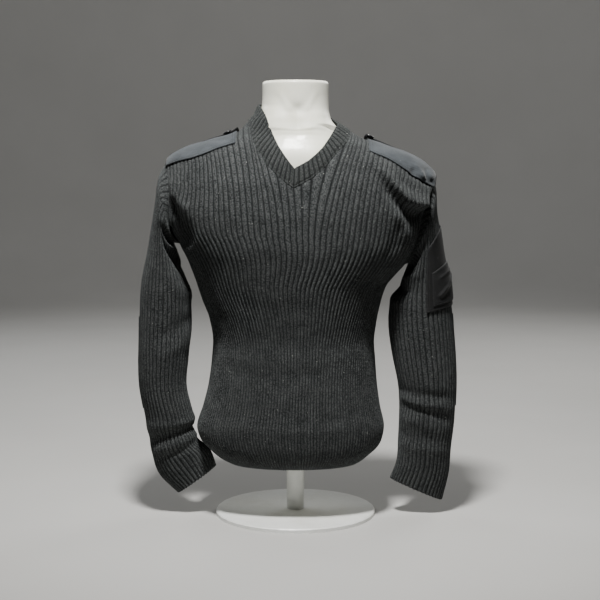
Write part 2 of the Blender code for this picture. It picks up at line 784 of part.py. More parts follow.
def band_paths():
    """Outer and inner edge of the neck band, as closed lines from the V round the wearer's right."""
    v, w = V_POINT, BAND_V_POINT
    first, middle, last = NECK_COLUMNS
    parts = []
    for table, edge, side, count in (
        (FRONT_NECKLINE[: v + 1][::-1], FRONT_BAND_EDGE[: w + 1][::-1], -1, 2 * (middle - first)),
        (BACK_NECKLINE, BACK_BAND_EDGE, 1, last - first),
        (FRONT_NECKLINE[v:][::-1], FRONT_BAND_EDGE[w:][::-1], -1, 2 * (last - middle)),
    ):
        outer = even_path(side, table, count)
        inner = even_path(side, edge, count)
        half = onto_body(side, (outer + inner) / 2)
        grid = np.array((outer, half, inner))
        normals = body_normal(side, grid)
        parts.append((grid[:, :-1], normals[:, :-1]))
    points = np.concatenate([part[0] for part in parts], axis=1)
    normals = np.concatenate([part[1] for part in parts], axis=1)
    inward = points[1] - points[0]
    inward /= np.linalg.norm(inward, axis=1, keepdims=True)
    points[0] += inward * BAND_SEAM
    return points, normals


def build_band():
    points, normals = band_paths()
    columns = points.shape[1]
    kept = np.arange(0, columns, 2)
    outer = ribbed(points, normals)
    inner = points[:, kept] - normals[:, kept] * WALL
    at = np.arange(columns) / columns
    tube_solid("neck_band", outer, inner, at, at[kept], KNIT)


def plate(name, points, normals, lift, thick, spec):
    """A woven piece laid over a grid of points, from lift to lift and thick above them."""
    lower = points + normals * np.asarray(lift)[..., None]
    upper = lower + normals * thick
    return sheet_solid(name, upper, lower, list(range(points.shape[1])), spec)


def panel_at(panel, row, column):
    """Point and normal of a panel between two of its rows, counted from the underarm."""
    points, normals = panel
    first = len(PANEL_ROWS) - 1
    low = min(int(row), ARMHOLE_ROWS - 1)
    part = row - low
    point = points[first + low, column] * (1 - part) + points[first + low + 1, column] * part
    normal = normals[first + low, column] * (1 - part) + normals[first + low + 1, column] * part
    return point, normal / np.linalg.norm(normal)


def row_at_height(panel, column, height):
    """Row, counted from the underarm, where a panel column reaches a height."""
    heights = panel[0][len(PANEL_ROWS) - 1:, column, 2]
    return float(np.interp(height, heights, np.arange(ARMHOLE_ROWS + 1)))


def build_patch(name, front, back, edge, columns):
    grid = []
    for column in columns:
        x = front[0][-1, column, 0]
        start = row_at_height(front, column, float(curve(edge, 1, x)))
        rows = [(front, row) for row in (min(start, PATCH_START), 4.0, 4.33, 4.67)]
        line = [panel_at(panel, row, column) for panel, row in rows]
        line += [seam_point(front, back, column)]
        line += [panel_at(back, row, column) for row in (4.5, 4.0, PATCH_BACK_ROW)]
        grid.append(line)
    points = np.array([[point for point, _ in line] for line in grid])
    normals = np.array([[normal for _, normal in line] for line in grid])
    plate(name, points, normals, np.full(points.shape[:2], PATCH_LIFT), WOVEN, TWILL)


def seam_point(front, back, column):
    """Point on the shoulder seam between the two panels."""
    point = (front[0][-1, column] + back[0][-1, column]) / 2
    normal = front[1][-1, column] + back[1][-1, column]
    return point, normal / np.linalg.norm(normal)


def build_strap(name, button_name, back, columns, button_column):
    """Shoulder strap, with its neck end standing up, and its button."""
    grid = [[panel_at(back, row, column) for row in STRAP_ROWS] for column in columns]
    points = np.array([[point for point, _ in line] for line in grid])
    normals = np.array([[normal for _, normal in line] for line in grid])
    base = PATCH_LIFT + WOVEN + SEAM * 2
    along = np.abs(points[:, 0, 0] - points[0, 0, 0]) / abs(points[-1, 0, 0] - points[0, 0, 0])
    rise = (along ** 2)[:, None] * STRAP_LIFT
    plate(name, points, normals, base + rise + np.zeros(points.shape[:2]), STRAP_THICK, DARK_TWILL)
    seat, up = panel_at(back, STRAP_ROWS[1], button_column)
    seat = seat + up * (base + STRAP_LIFT + STRAP_THICK + BUTTON_GAP)
    disc(button_name, seat, up, BUTTON_RADIUS, BUTTON_THICK, BUTTON)


def disc(name, seat, up, radius, thick, spec, sides=16):
    """A round button with a turned-down rim and a dished top."""
    across = np.cross(up, (0.0, 1.0, 0.0))
    across /= np.linalg.norm(across)
    other = np.cross(up, across)
    profile = [(radius * out, thick * high) for out, high in BUTTON_PROFILE]
    angle = 2 * np.pi * np.arange(sides) / sides
    rings = [
        seat + up * h + r * (np.cos(angle)[:, None] * across + np.sin(angle)[:, None] * other)
        for r, h in profile
    ]
    points = np.concatenate(rings + [seat[None], (seat + up * profile[-1][1])[None]])
    faces = revolve_faces(len(profile), sides)
    add_solid(name, points, faces, spec)


def revolve_faces(rings, sides):
    """Triangles of stacked rings, closed at each end by a middle point."""
    numbers = np.arange(rings * sides).reshape(rings, sides)
    numbers = np.concatenate((numbers, numbers[:, :1]), axis=1)
    faces = quads(numbers)
    low, high = rings * sides, rings * sides + 1
    faces += [(low, numbers[0, k + 1], numbers[0, k]) for k in range(sides)]
    faces += [(high, numbers[-1, k], numbers[-1, k + 1]) for k in range(sides)]
    return faces


def build_sleeve_patch(name, sleeve, span, lift, thick, spec):
    """A woven piece over part of a sleeve, between two rings and two columns."""
    points, normals = sleeve
    first, last, start, stop = span
    between = [s for s in range(1, len(points)) if first + RING_MARGIN < s < last - RING_MARGIN]
    rings = [first, *between, last]
    columns = list(range(start, stop + 1, 2))
    grid, facing = [], []
    for s in rings:
        low = min(int(s), len(points) - 2)
        part = s - low
        grid.append(points[low, columns] * (1 - part) + points[low + 1, columns] * part)
        facing.append(normals[low, columns] * (1 - part) + normals[low + 1, columns] * part)
    grid, facing = np.array(grid), np.array(facing)
    facing /= np.linalg.norm(facing, axis=-1, keepdims=True)
    plate(name, grid, facing, np.full(grid.shape[:2], lift), thick, spec)


def form_ring(z):
    """Points of the form under the cloth at height z."""
    angle = 2 * np.pi * np.arange(FORM_COLUMNS) / FORM_COLUMNS
    square = float(curve(DEPTHS, 3, z))
    x = np.sign(np.cos(angle)) * np.abs(np.cos(angle)) ** (2 / square)
    x = x * np.where(x < 0, curve(RIGHT_OUTLINE, 1, z), curve(LEFT_OUTLINE, 1, z))
    front = np.sin(angle) < 0
    y = np.sign(np.sin(angle)) * np.abs(np.sin(angle)) ** (2 / square)
    y = y * np.where(front, depth(-1, z), depth(1, z))
    points = np.stack((x, y, np.full(len(x), z)), axis=-1)
    normals = np.where(front[:, None], body_normal(-1, points), body_normal(1, points))
    low, high = SHOULDER_HEIGHTS
    on_top = np.clip((normals[:, 2] - SHOULDER_TILT) / SHOULDER_BLEND, 0, 1) * (low < z < high)
    loose = float(curve(FORM_CLEARANCE, 1, z))
    clearance = loose + (SHOULDER_CLEARANCE - loose) * on_top
    return points - normals * (WALL + clearance)[:, None]


def build_form():
    rings = [form_ring(z) for z in FORM_ROWS]
    neck = rings[-1]
    middle = neck.mean(axis=0)
    for turn in (0.0, 30.0, 60.0, 90.0):
        back = NECK_ROUND * (1 - np.cos(np.radians(turn)))
        up = NECK_TOP - NECK_ROUND * (1 - np.sin(np.radians(turn)))
        ring = neck.copy()
        outward = (neck - middle)[:, :2]
        ring[:, :2] -= outward / np.linalg.norm(outward, axis=1, keepdims=True) * back
        ring[:, 2] = up
        rings.append(ring)
    bottom = rings[0].mean(axis=0)
    top = np.array((0.0, 0.0, NECK_TOP))
    points = np.concatenate(rings + [bottom[None], top[None]])
    add_solid("torso_form", points, revolve_faces(len(rings), FORM_COLUMNS), FORM)
    return float(bottom[2])


def build_stand(form_bottom):
    sides = 32
    angle = 2 * np.pi * np.arange(sides) / sides
    circle = np.stack((np.cos(angle), np.sin(angle), 0 * angle), axis=-1)
    base_profile = (
        (BASE_RADIUS, 0.0),
        (BASE_RADIUS, BASE_THICK - BASE_BEVEL),
        (BASE_RADIUS - BASE_BEVEL, BASE_THICK),
    )
    post_profile = ((POST_RADIUS, BASE_THICK + SEAM), (POST_RADIUS, form_bottom - SEAM))
    for name, profile in (("stand_base", base_profile), ("stand_post", post_profile)):
        rings = [circle * r + np.array((0, 0, h)) for r, h in profile]
        ends = np.array(((0, 0, profile[0][1]), (0, 0, profile[-1][1])))
        points = np.concatenate(rings + [ends])
        made = add_solid(name, points, revolve_faces(len(profile), sides), STEEL)
        made.data.set_sharp_from_angle(angle=np.radians(40))


def main():
    clear_scene()
    front = panel_grid(-1)
    back = panel_grid(1)
    right_seam = share_seam(front, back, 0, RIGHT_SLEEVE_RINGS)
    left_seam = share_seam(front, back, -1, LEFT_SLEEVE_RINGS)
    build_panel("front", -1, front)
    build_panel("back", 1, back)
    right = build_sleeve("right_sleeve", RIGHT_SLEEVE_RINGS, *right_seam)
    left = build_sleeve("left_sleeve", LEFT_SLEEVE_RINGS, *left_seam)
    build_band()
    mirrored = [PANEL_COLUMNS - column for column in PATCH_COLUMNS]
    build_patch("right_shoulder_patch", front, back, RIGHT_PATCH_EDGE, PATCH_COLUMNS)
    build_patch("left_shoulder_patch", front, back, LEFT_PATCH_EDGE, mirrored)
    build_strap("right_shoulder_strap", "right_strap_button", back, STRAP_COLUMNS, BUTTON_COLUMN)
    mirrored = [PANEL_COLUMNS - column for column in STRAP_COLUMNS]
    build_strap("left_shoulder_strap", "left_strap_button", back, mirrored, PANEL_COLUMNS - BUTTON_COLUMN)
    build_sleeve_patch("right_elbow_patch", right, ELBOW, PATCH_LIFT, WOVEN, TWILL)
    build_sleeve_patch("left_elbow_patch", left, ELBOW, PATCH_LIFT, WOVEN, TWILL)
    build_sleeve_patch("sleeve_pocket_base", left, POCKET, PATCH_LIFT, WOVEN, DARK_TWILL)
    pocket_lift = PATCH_LIFT + WOVEN + SEAM * 2
    build_sleeve_patch("pen_pocket", left, PEN_POCKET, pocket_lift, WOVEN, DARK_TWILL)
    build_stand(build_form())


main()
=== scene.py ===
import math
import bmesh
import bpy
import numpy as np
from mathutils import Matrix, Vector


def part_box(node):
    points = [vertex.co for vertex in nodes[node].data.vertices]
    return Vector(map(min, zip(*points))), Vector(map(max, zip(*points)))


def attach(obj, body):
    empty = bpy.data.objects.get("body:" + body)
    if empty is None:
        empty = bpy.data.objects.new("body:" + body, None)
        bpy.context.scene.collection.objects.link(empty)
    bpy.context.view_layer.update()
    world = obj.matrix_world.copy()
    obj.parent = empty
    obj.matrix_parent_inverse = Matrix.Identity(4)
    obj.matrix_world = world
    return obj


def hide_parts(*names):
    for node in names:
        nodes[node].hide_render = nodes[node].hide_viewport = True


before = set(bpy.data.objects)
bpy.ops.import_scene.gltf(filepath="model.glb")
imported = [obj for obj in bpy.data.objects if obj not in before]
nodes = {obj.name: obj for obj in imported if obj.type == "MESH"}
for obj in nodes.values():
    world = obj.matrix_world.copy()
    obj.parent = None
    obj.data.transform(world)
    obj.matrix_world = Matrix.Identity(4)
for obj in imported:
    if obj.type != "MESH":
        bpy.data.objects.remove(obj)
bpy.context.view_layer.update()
print("frame loaded:", len(nodes), "nodes")

# Sizes in metres. Sides are the wearer's: right is -X, left is +X, the front faces -Y.

body = {
    # height, half width on the wearer's right
    "rightOutline": (
        (0.086, 0.04), (0.088, 0.08), (0.092, 0.108), (0.098, 0.12), (0.104, 0.132), (0.114, 0.146),
        (0.126, 0.1585), (0.139, 0.1705), (0.162, 0.177), (0.2, 0.166), (0.244, 0.155), (0.288, 0.149),
        (0.317, 0.147), (0.361, 0.154), (0.39, 0.165), (0.433, 0.179), (0.462, 0.189), (0.492, 0.206),
        (0.515, 0.224), (0.54, 0.2345), (0.57, 0.2375), (0.6, 0.2375), (0.625, 0.234), (0.64, 0.2275),
        (0.6465, 0.2207), (0.6553, 0.2055), (0.665, 0.1823), (0.671, 0.1591), (0.6755, 0.1449),
        (0.6835, 0.115), (0.695, 0.0955), (0.7089, 0.0835), (0.72, 0.0715), (0.73, 0.0675),
        (0.7376, 0.065), (0.76, 0.064), (0.8, 0.064)),
    # the same on the wearer's left, where the cloth is pulled down and out
    "leftOutline": (
        (0.086, 0.038), (0.088, 0.075), (0.092, 0.102), (0.098, 0.113), (0.104, 0.123), (0.114, 0.135),
        (0.126, 0.148), (0.139, 0.155), (0.162, 0.159), (0.2, 0.1515), (0.244, 0.1455), (0.288, 0.142),
        (0.317, 0.1399), (0.347, 0.1434), (0.39, 0.1521), (0.419, 0.162), (0.435, 0.175), (0.452, 0.19),
        (0.465, 0.2005), (0.485, 0.214), (0.51, 0.2275), (0.54, 0.2375), (0.57, 0.2445), (0.595, 0.2492),
        (0.61, 0.248), (0.6175, 0.2445), (0.6321, 0.231), (0.643, 0.2145), (0.6527, 0.1935),
        (0.6608, 0.169), (0.668, 0.15), (0.676, 0.125), (0.684, 0.1085), (0.6887, 0.0995),
        (0.7042, 0.076), (0.715, 0.0675), (0.73, 0.0645), (0.76, 0.064), (0.8, 0.064)),
    # height, front depth, back depth, squareness of the section
    "depths": (
        (0.086, 0.025, 0.025, 2.2), (0.088, 0.05, 0.05, 2.2), (0.092, 0.069, 0.069, 2.2),
        (0.098, 0.082, 0.082, 2.2), (0.104, 0.092, 0.092, 2.2), (0.114, 0.1, 0.1, 2.2),
        (0.126, 0.1055, 0.106, 2.2), (0.139, 0.1085, 0.1095, 2.2), (0.162, 0.11, 0.111, 2.2),
        (0.2, 0.107, 0.106, 2.2), (0.244, 0.103, 0.099, 2.2), (0.288, 0.1, 0.094, 2.2),
        (0.317, 0.099, 0.092, 2.2), (0.361, 0.104, 0.095, 2.25), (0.39, 0.109, 0.098, 2.3),
        (0.433, 0.116, 0.1025, 2.4), (0.462, 0.1205, 0.1055, 2.5), (0.492, 0.124, 0.107, 2.6),
        (0.54, 0.1235, 0.107, 2.6), (0.57, 0.119, 0.105, 2.6), (0.6, 0.1125, 0.1, 2.6),
        (0.625, 0.103, 0.093, 2.6), (0.64, 0.0965, 0.088, 2.6), (0.655, 0.0885, 0.0825, 2.6),
        (0.6689, 0.0795, 0.0765, 2.6), (0.6795, 0.0725, 0.0715, 2.5), (0.6866, 0.0685, 0.0685, 2.4),
        (0.695, 0.0655, 0.0665, 2.3), (0.7089, 0.064, 0.0645, 2.2), (0.7376, 0.0635, 0.0635, 2.0),
        (0.8, 0.0635, 0.0635, 2.0)),
    # hand, height of the underarm, height of the shoulder tip, half depth of the armhole
    "rightArmhole": (-1, 0.492, 0.6465, 0.061),
    "leftArmhole": (1, 0.452, 0.6175, 0.062),
}

# Curves and the garment's surface

def smoothCurve(table, column, at):
    # a curve without overshoot through one column of a table
    rows = np.array(table)
    x, y = rows[:, 0], rows[:, column]
    at = np.clip(np.asarray(at, float), x[0], x[-1])
    step = np.diff(x)
    slope = np.diff(y) / step
    tangent = np.zeros(len(x))
    tangent[0], tangent[-1] = slope[0], slope[-1]
    same = slope[:-1] * slope[1:] > 0
    total = np.where(same, slope[:-1] + slope[1:], 1.0)
    tangent[1:-1] = np.where(same, 2 * slope[:-1] * slope[1:] / total, 0.0)
    i = np.clip(np.searchsorted(x, at) - 1, 0, len(step) - 1)
    t = (at - x[i]) / step[i]
    near = (1 + 2 * t) * (1 - t) ** 2 * y[i] + t * (1 - t) ** 2 * step[i] * tangent[i]
    far = t * t * (3 - 2 * t) * y[i + 1] + t * t * (t - 1) * step[i] * tangent[i + 1]
    return near + far


def ease(t):
    t = np.clip(t, 0.0, 1.0)
    return t * t * (3 - 2 * t)


def bell(away, width):
    return np.exp(-(away / width) ** 2)


def signedPower(value, exponent):
    return np.sign(value) * np.abs(value) ** exponent


def halfWidth(x, z):
    right, left = (smoothCurve(body[name], 1, z) for name in ("rightOutline", "leftOutline"))
    return np.where(np.asarray(x) < 0, right, left)


def bodyDepth(side, z):
    return smoothCurve(body["depths"], 1 if side < 0 else 2, z)


def squareness(z):
    return smoothCurve(body["depths"], 3, z)


def bodyY(side, x, z):
    square = squareness(z)
    inside = np.clip(1 - (np.abs(x) / halfWidth(x, z)) ** square, 0.0, 1.0)
    return side * bodyDepth(side, z) * inside ** (1 / square)


def onBody(side, x, z):
    return np.stack((x, bodyY(side, x, z), z), axis=-1)


def ontoBody(side, points):
    x, y, z = points[..., 0], points[..., 1], points[..., 2]
    square = squareness(z)
    reach = (np.abs(x) / halfWidth(x, z)) ** square + (np.abs(y) / bodyDepth(side, z)) ** square
    moved = points.copy()
    moved[..., :2] /= (reach ** (1 / square))[..., None]
    return moved


def lengthAlong(points):
    return np.concatenate(([0.0], np.cumsum(np.linalg.norm(np.diff(points, axis=0), axis=1))))


def sectionAt(side, z, fractions):
    # x and y at shares of the section's length, from the wearer's right
    turn = np.linspace(0.0, np.pi, 361)
    square = float(squareness(z))
    across = signedPower(-np.cos(turn), 2 / square)
    x = across * halfWidth(across, z)
    y = side * float(bodyDepth(side, z)) * np.sin(turn) ** (2 / square)
    length = lengthAlong(np.stack((x, y), axis=-1))
    want = np.asarray(fractions) * length[-1]
    return np.interp(want, length, x), np.interp(want, length, y)


def armholeAt(side, armhole, q):
    hand, low, high, halfDepth = armhole
    q = np.asarray(q, float)
    z = low + (high - low) * (1 - np.cos(np.pi * q)) / 2
    y = side * halfDepth * np.sin(np.pi * q)
    square = squareness(z)
    x = hand * halfWidth(hand, z) * (1 - (np.abs(y) / bodyDepth(side, z)) ** square) ** (1 / square)
    return np.stack((x, y, z), axis=-1)


def armholeEven(side, armhole, shares, start=0.0):
    # points at shares of the armhole's length
    q = np.linspace(start, 1.0, 801)
    length = lengthAlong(armholeAt(side, armhole, q))
    return armholeAt(side, armhole, np.interp(np.asarray(shares) * length[-1], length, q))


def alongTable(side, table, shares):
    # points at shares of a neckline's length, laid on the body
    rows = np.array(table)
    fine = np.linspace(0, len(rows) - 1, 40 * (len(rows) - 1) + 1)
    x, z = (np.interp(fine, np.arange(len(rows)), rows[:, column]) for column in (0, 1))
    length = lengthAlong(onBody(side, x, z))
    want = np.asarray(shares) * length[-1]
    return onBody(side, np.interp(want, length, x), np.interp(want, length, z))


def ridgeHeight(x):
    # height of the shoulder seam at x
    z = np.linspace(0.60, 0.72, 1201)
    right, left = (smoothCurve(body[name], 1, z)[::-1] for name in ("rightOutline", "leftOutline"))
    x = np.asarray(x, float)
    return np.where(x < 0, np.interp(-x, right, z[::-1]), np.interp(x, left, z[::-1]))


def gridNormals(points, closed=False):
    if closed:
        across = np.roll(points, -1, axis=1) - np.roll(points, 1, axis=1)
    else:
        across = np.gradient(points, axis=1)
    normals = np.cross(across, np.gradient(points, axis=0))
    size = np.linalg.norm(normals, axis=-1, keepdims=True)
    return normals / np.where(size > 1e-12, size, 1.0)


def outwardNormals(points, away, closed=False):
    normals = gridNormals(points, closed)
    return -normals if (normals * away).sum() < 0 else normals


def closeRing(grid):
    return np.concatenate((grid, grid[:, :1]), axis=1)


def unit(vectors):
    return vectors / np.linalg.norm(vectors, axis=-1, keepdims=True)


def between(values, row, column):
    # values of a grid at rows and columns that aren't whole
    i = np.minimum(row.astype(int), values.shape[0] - 2)
    j = np.minimum(column.astype(int), values.shape[1] - 2)
    a, b = (row - i)[..., None], (column - j)[..., None]
    near = values[i, j] * (1 - b) + values[i, j + 1] * b
    far = values[i + 1, j] * (1 - b) + values[i + 1, j + 1] * b
    return near * (1 - a) + far * a


def nearLine(x, z, line):
    # distance from points to a line, and how far along it they are
    line = np.array(line, float)
    best = np.full(x.shape, 9.0)
    at = np.zeros(x.shape)
    for i in range(len(line) - 1):
        a, b = line[i], line[i + 1]
        d = b - a
        t = np.clip(((x - a[0]) * d[0] + (z - a[1]) * d[1]) / (d @ d), 0, 1)
        away = np.hypot(x - a[0] - t * d[0], z - a[1] - t * d[1])
        closer = away < best
        best = np.where(closer, away, best)
        at = np.where(closer, (i + t) / (len(line) - 1), at)
    return best, at


def wobble(a, b, seed):
    # slow uneven waves, so that folds and ribs aren't ruled
    rng = np.random.default_rng(seed)
    total = np.zeros(np.broadcast(a, b).shape)
    for _ in range(6):
        fa, fb = rng.uniform(-1, 1, 2)
        total += np.sin(a * fa * 2 * np.pi + b * fb * 2 * np.pi + rng.uniform(0, 6.28))
    return total / 6


# What all the knitted pieces share: a stitch's height, and how far the valleys between ribs lie in
knit = {"stitch": 0.0024, "valley": 0.0002, "roundness": 0.62}


def ribShape(phase):
    # raised rounded knit columns with a narrow valley between
    return (0.5 - 0.5 * np.cos(2 * np.pi * phase)) ** knit["roundness"]


def knitUv(rib, run):
    # u counts ribs, v counts stitches
    return np.stack(np.broadcast_arrays(rib, run / knit["stitch"]), axis=-1)


def runDown(points):
    # length down each column from the first row
    steps = np.linalg.norm(np.diff(points, axis=0), axis=-1)
    return np.concatenate((np.zeros((1, points.shape[1])), np.cumsum(steps, axis=0)))


def rollEdge(edge, out, outSize, inward, inSize, angles):
    # rows round a turned edge
    turns = [math.radians(angle) for angle in angles]
    return [edge + out * outSize * math.sin(a) + inward * inSize * (1 - math.cos(a)) for a in turns]


# Meshes

def gridMesh(points, uv, flip=False):
    near, far = slice(0, -1), slice(1, None)
    corners = ((near, near), (near, far), (far, far), (far, near))
    if flip:
        corners = corners[:1] + corners[:0:-1]
    numbers = np.arange(points.shape[0] * points.shape[1]).reshape(points.shape[:2])
    quads = np.stack([numbers[c].ravel() for c in corners], axis=-1)
    loops = np.stack([uv[c].reshape(-1, 2) for c in corners], axis=1)
    return points.reshape(-1, 3), quads, loops.reshape(-1, 2)


def linkNew(name, data):
    made = bpy.data.objects.new(name, data)
    bpy.context.scene.collection.objects.link(made)
    return made


def makePiece(name, grids, material, nodeName, merge=0.00003):
    # one piece from its grids, welded where they meet, in place of its node
    points = np.concatenate([g[0] for g in grids])
    starts = np.cumsum([0] + [len(g[0]) for g in grids])
    quads = np.concatenate([g[1] + start for g, start in zip(grids, starts)])
    loops = np.concatenate([g[2] for g in grids])
    mesh = bpy.data.meshes.new(name)
    mesh.vertices.add(len(points))
    mesh.vertices.foreach_set("co", np.asarray(points, np.float32).ravel())
    mesh.loops.add(quads.size)
    mesh.loops.foreach_set("vertex_index", quads.astype(np.int32).ravel())
    mesh.polygons.add(len(quads))
    mesh.polygons.foreach_set("loop_start", np.arange(0, quads.size, 4, dtype=np.int32))
    mesh.uv_layers.new(name="cloth").data.foreach_set("uv", np.asarray(loops, np.float32).ravel())
    mesh.update(calc_edges=True)
    mesh.validate()
    work = bmesh.new()
    work.from_mesh(mesh)
    bmesh.ops.remove_doubles(work, verts=work.verts, dist=merge)
    work.to_mesh(mesh)
    work.free()
    mesh.shade_smooth()
    mesh.materials.append(material)
    piece = linkNew(name, mesh)
    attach(piece, "root")
    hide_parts(nodeName)
    return piece


# Node groups and materials

def wire(tree, socket, value):
    # a link from another socket, or a constant
    if isinstance(value, bpy.types.NodeSocket):
        tree.links.new(value, socket)
    else:
        socket.default_value = value


def addNode(tree, kind, inputs=None, output=0, **settings):
    # with None as the output, all outputs come back
    node = tree.nodes.new(kind)
    for label, value in settings.items():
        setattr(node, label, value)
    for label, value in (inputs or {}).items():
        wire(tree, node.inputs[label], value)
    return node.outputs if output is None else node.outputs[output]


def newGroup(name, kind, inputs, outputs):
    group = bpy.data.node_groups.new(name, kind)
    for label, socketKind, value in inputs:
        socket = group.interface.new_socket(name=label, in_out="INPUT", socket_type="NodeSocket" + socketKind)
        if value is not None:
            socket.default_value = value
    for label, socketKind in outputs:
        group.interface.new_socket(name=label, in_out="OUTPUT", socket_type="NodeSocket" + socketKind)
    return group, group.nodes.new("NodeGroupInput").outputs, group.nodes.new("NodeGroupOutput").inputs


def maths(tree, kinds="ADD SUBTRACT MULTIPLY ABSOLUTE FRACT LESS_THAN POWER SINE"):
    # a short call for each kind of Math node
    return [lambda *values, kind=kind: addNode(tree, "ShaderNodeMath", dict(enumerate(values)), operation=kind)
            for kind in kinds.split()]


def mapRange(tree, value, fromLow, fromHigh, toLow, toHigh):
    limits = {"From Min": fromLow, "From Max": fromHigh, "To Min": toLow, "To Max": toHigh}
    return addNode(tree, "ShaderNodeMapRange", {"Value": value, **limits}, interpolation_type="SMOOTHSTEP")


def noiseNode(tree, vector, scale, detail, rough):
    inputs = {"Vector": vector, "Scale": scale, "Detail": detail, "Roughness": rough}
    return addNode(tree, "ShaderNodeTexNoise", inputs, "Fac")


def mixColour(tree, factor, a, b):
    a, b = ((*value, 1.0) if isinstance(value, tuple) else value for value in (a, b))
    return addNode(tree, "ShaderNodeMix", {0: factor, 6: a, 7: b}, 2, data_type="RGBA")


def useGroup(tree, group, inputs):
    return addNode(tree, "ShaderNodeGroup", inputs, None, node_tree=group)


def makeStitchGroup():
    # V-shaped stitches on two knit columns a rib: u counts ribs, v counts stitches
    group, given, result = newGroup(
        "ribStitches", "ShaderNodeTree",
        (("UV", "Vector", None), ("Columns per rib", "Float", 2.0), ("Slant", "Float", 0.55)),
        (("Height", "Float"), ("Valley shade", "Float")))
    add, subtract, multiply, absolute, fraction = maths(group)[:5]
    u, v, _ = addNode(group, "ShaderNodeSeparateXYZ", {0: given["UV"]}, None)
    fromMiddle = absolute(subtract(fraction(multiply(u, given["Columns per rib"])), 0.5))
    slanted = add(v, multiply(fromMiddle, given["Slant"]))
    yarn = mapRange(group, absolute(subtract(fraction(slanted), 0.5)), 0.08, 0.46, 1.0, 0.0)
    limb = mapRange(group, absolute(subtract(fromMiddle, 0.25)), 0.02, 0.25, 1.0, 0.25)
    wire(group, result["Height"], multiply(yarn, limb))
    # the second output is a mask of the valleys between ribs, used only for painted shade
    fromRib = absolute(subtract(fraction(u), 0.5))
    wire(group, result["Valley shade"], mapRange(group, fromRib, 0.26, 0.48, 0.0, 1.0))
    return group


def makeWeaveGroup():
    # diagonal ridges over crossing threads, in metres of cloth
    group, given, result = newGroup(
        "twillWeave", "ShaderNodeTree", (("UV", "Vector", None), ("Threads", "Float", 900.0)),
        (("Height", "Float"), ("Lit ridge", "Float")))
    add, subtract, multiply, absolute, fraction, _, _, sine = maths(group)
    across, down, _ = addNode(group, "ShaderNodeSeparateXYZ", {0: given["UV"]}, None)
    u, v = multiply(across, given["Threads"]), multiply(down, given["Threads"])
    diagonal = fraction(multiply(add(u, v), 0.25))
    ridge = mapRange(group, absolute(subtract(diagonal, 0.5)), 0.05, 0.45, 1.0, 0.0)
    thread = absolute(sine(multiply(v, math.pi)))
    wire(group, result["Height"], add(multiply(ridge, 0.7), multiply(thread, 0.3)))
    # the second output marks the ridges; the cloth off them gets painted shade
    wire(group, result["Lit ridge"], ridge)
    return group


def makeLintGroup():
    # small pale specks of lint, sparse and uneven
    group, given, result = newGroup(
        "lintSpecks", "ShaderNodeTree",
        (("Vector", "Vector", None), ("Scale", "Float", 190.0), ("Share", "Float", 0.12)), (("Mask", "Float"),))
    add, _, multiply, _, _, less = maths(group)[:6]
    cells = addNode(group, "ShaderNodeTexVoronoi", {"Vector": given["Vector"], "Scale": given["Scale"]}, None)
    chance, spread, _ = addNode(group, "ShaderNodeSeparateColor", {0: cells["Color"]}, None)
    near = less(cells["Distance"], add(0.04, multiply(spread, 0.14)))
    wire(group, result["Mask"], multiply(less(chance, given["Share"]), near))
    return group


stitchGroup = makeStitchGroup()
weaveGroup = makeWeaveGroup()
lintGroup = makeLintGroup()


def startMaterial(name):
    made = bpy.data.materials.new(name)
    made.use_nodes = True
    tree = made.node_tree
    return made, tree, addNode(tree, "ShaderNodeTexCoord", output="Object")


def clothUv(tree):
    return addNode(tree, "ShaderNodeUVMap", uv_map="cloth")


def addLint(tree, place, colour, specks, share, pale):
    mask = useGroup(tree, lintGroup, {"Vector": place, **specks})["Mask"]
    return mixColour(tree, maths(tree)[2](mask, share), colour, pale)


def finishMaterial(tree, values, height=None, strength=0.0, distance=0.0):
    # values for the surface's sockets, and a bump
    shader = tree.nodes["Principled BSDF"]
    if height is not None:
        bump = {"Height": height, "Strength": strength, "Distance": distance}
        values["Normal"] = addNode(tree, "ShaderNodeBump", bump)
    for label, value in values.items():
        wire(tree, shader.inputs[label], value)


# Each noise has its scale, detail and roughness. Shares are of the colour or height that is mixed in.
knitLook = {
    "fuzz": (480.0, 4.0, 0.9), "fuzzShare": 0.84,
    "wear": (55.0, 4.0, 0.65), "wearShare": 0.10,
    "cloud": (14.0, 3.0, 0.6), "cloudShare": 0.06,
    "toneRange": (0.42, 0.61),
    # painted shade in the gaps between yarn loops, where the stitch height is low
    "stitchShade": 0.35, "stitchShadeColour": (0.006, 0.007, 0.007),
    # painted shade in the valleys between ribs
    "valleyShade": 0.82, "valleyShadeColour": (0.004, 0.0045, 0.0048),
    "fineLint": ({"Scale": 520.0, "Share": 0.10}, 0.45, (0.20, 0.21, 0.20)),
    "lint": ({}, 0.6, (0.34, 0.35, 0.33)),
    "surface": {
        "Roughness": 0.93, "Specular IOR Level": 0.12,
        "Sheen Weight": 0.08, "Sheen Roughness": 0.45, "Sheen Tint": (0.80, 0.86, 0.86, 1.0)},
    "fuzzHeight": 0.7, "bump": (0.85, 0.0006),
}
twillLook = {
    "cloud": (30.0, 4.0, 0.6), "cloudShare": 0.6,
    "slub": (900.0, 2.0, 0.6), "slubShare": 0.4,
    "toneRange": (0.32, 0.68), "edgeShade": 0.45,
    "lint": ({"Scale": 260.0, "Share": 0.08}, 0.4, (0.42, 0.43, 0.42)),
    "specular": 0.24, "slubHeight": 0.5, "bump": (0.6, 0.00035),
}
glossLook = {
    "cloud": (9.0, 4.0, 0.6), "cloudRange": (0.40, 0.72, 0.0, 0.8),
    "scuff": (160.0, 5.0, 0.7), "scuffRange": (0.66, 0.78, 0.0, 0.35), "scuffColour": (0.52, 0.51, 0.44),
    "roughRange": (0.35, 0.75), "coatRough": 0.12,
    "dents": (60.0, 3.0, 0.5), "bump": (0.12, 0.0006),
}


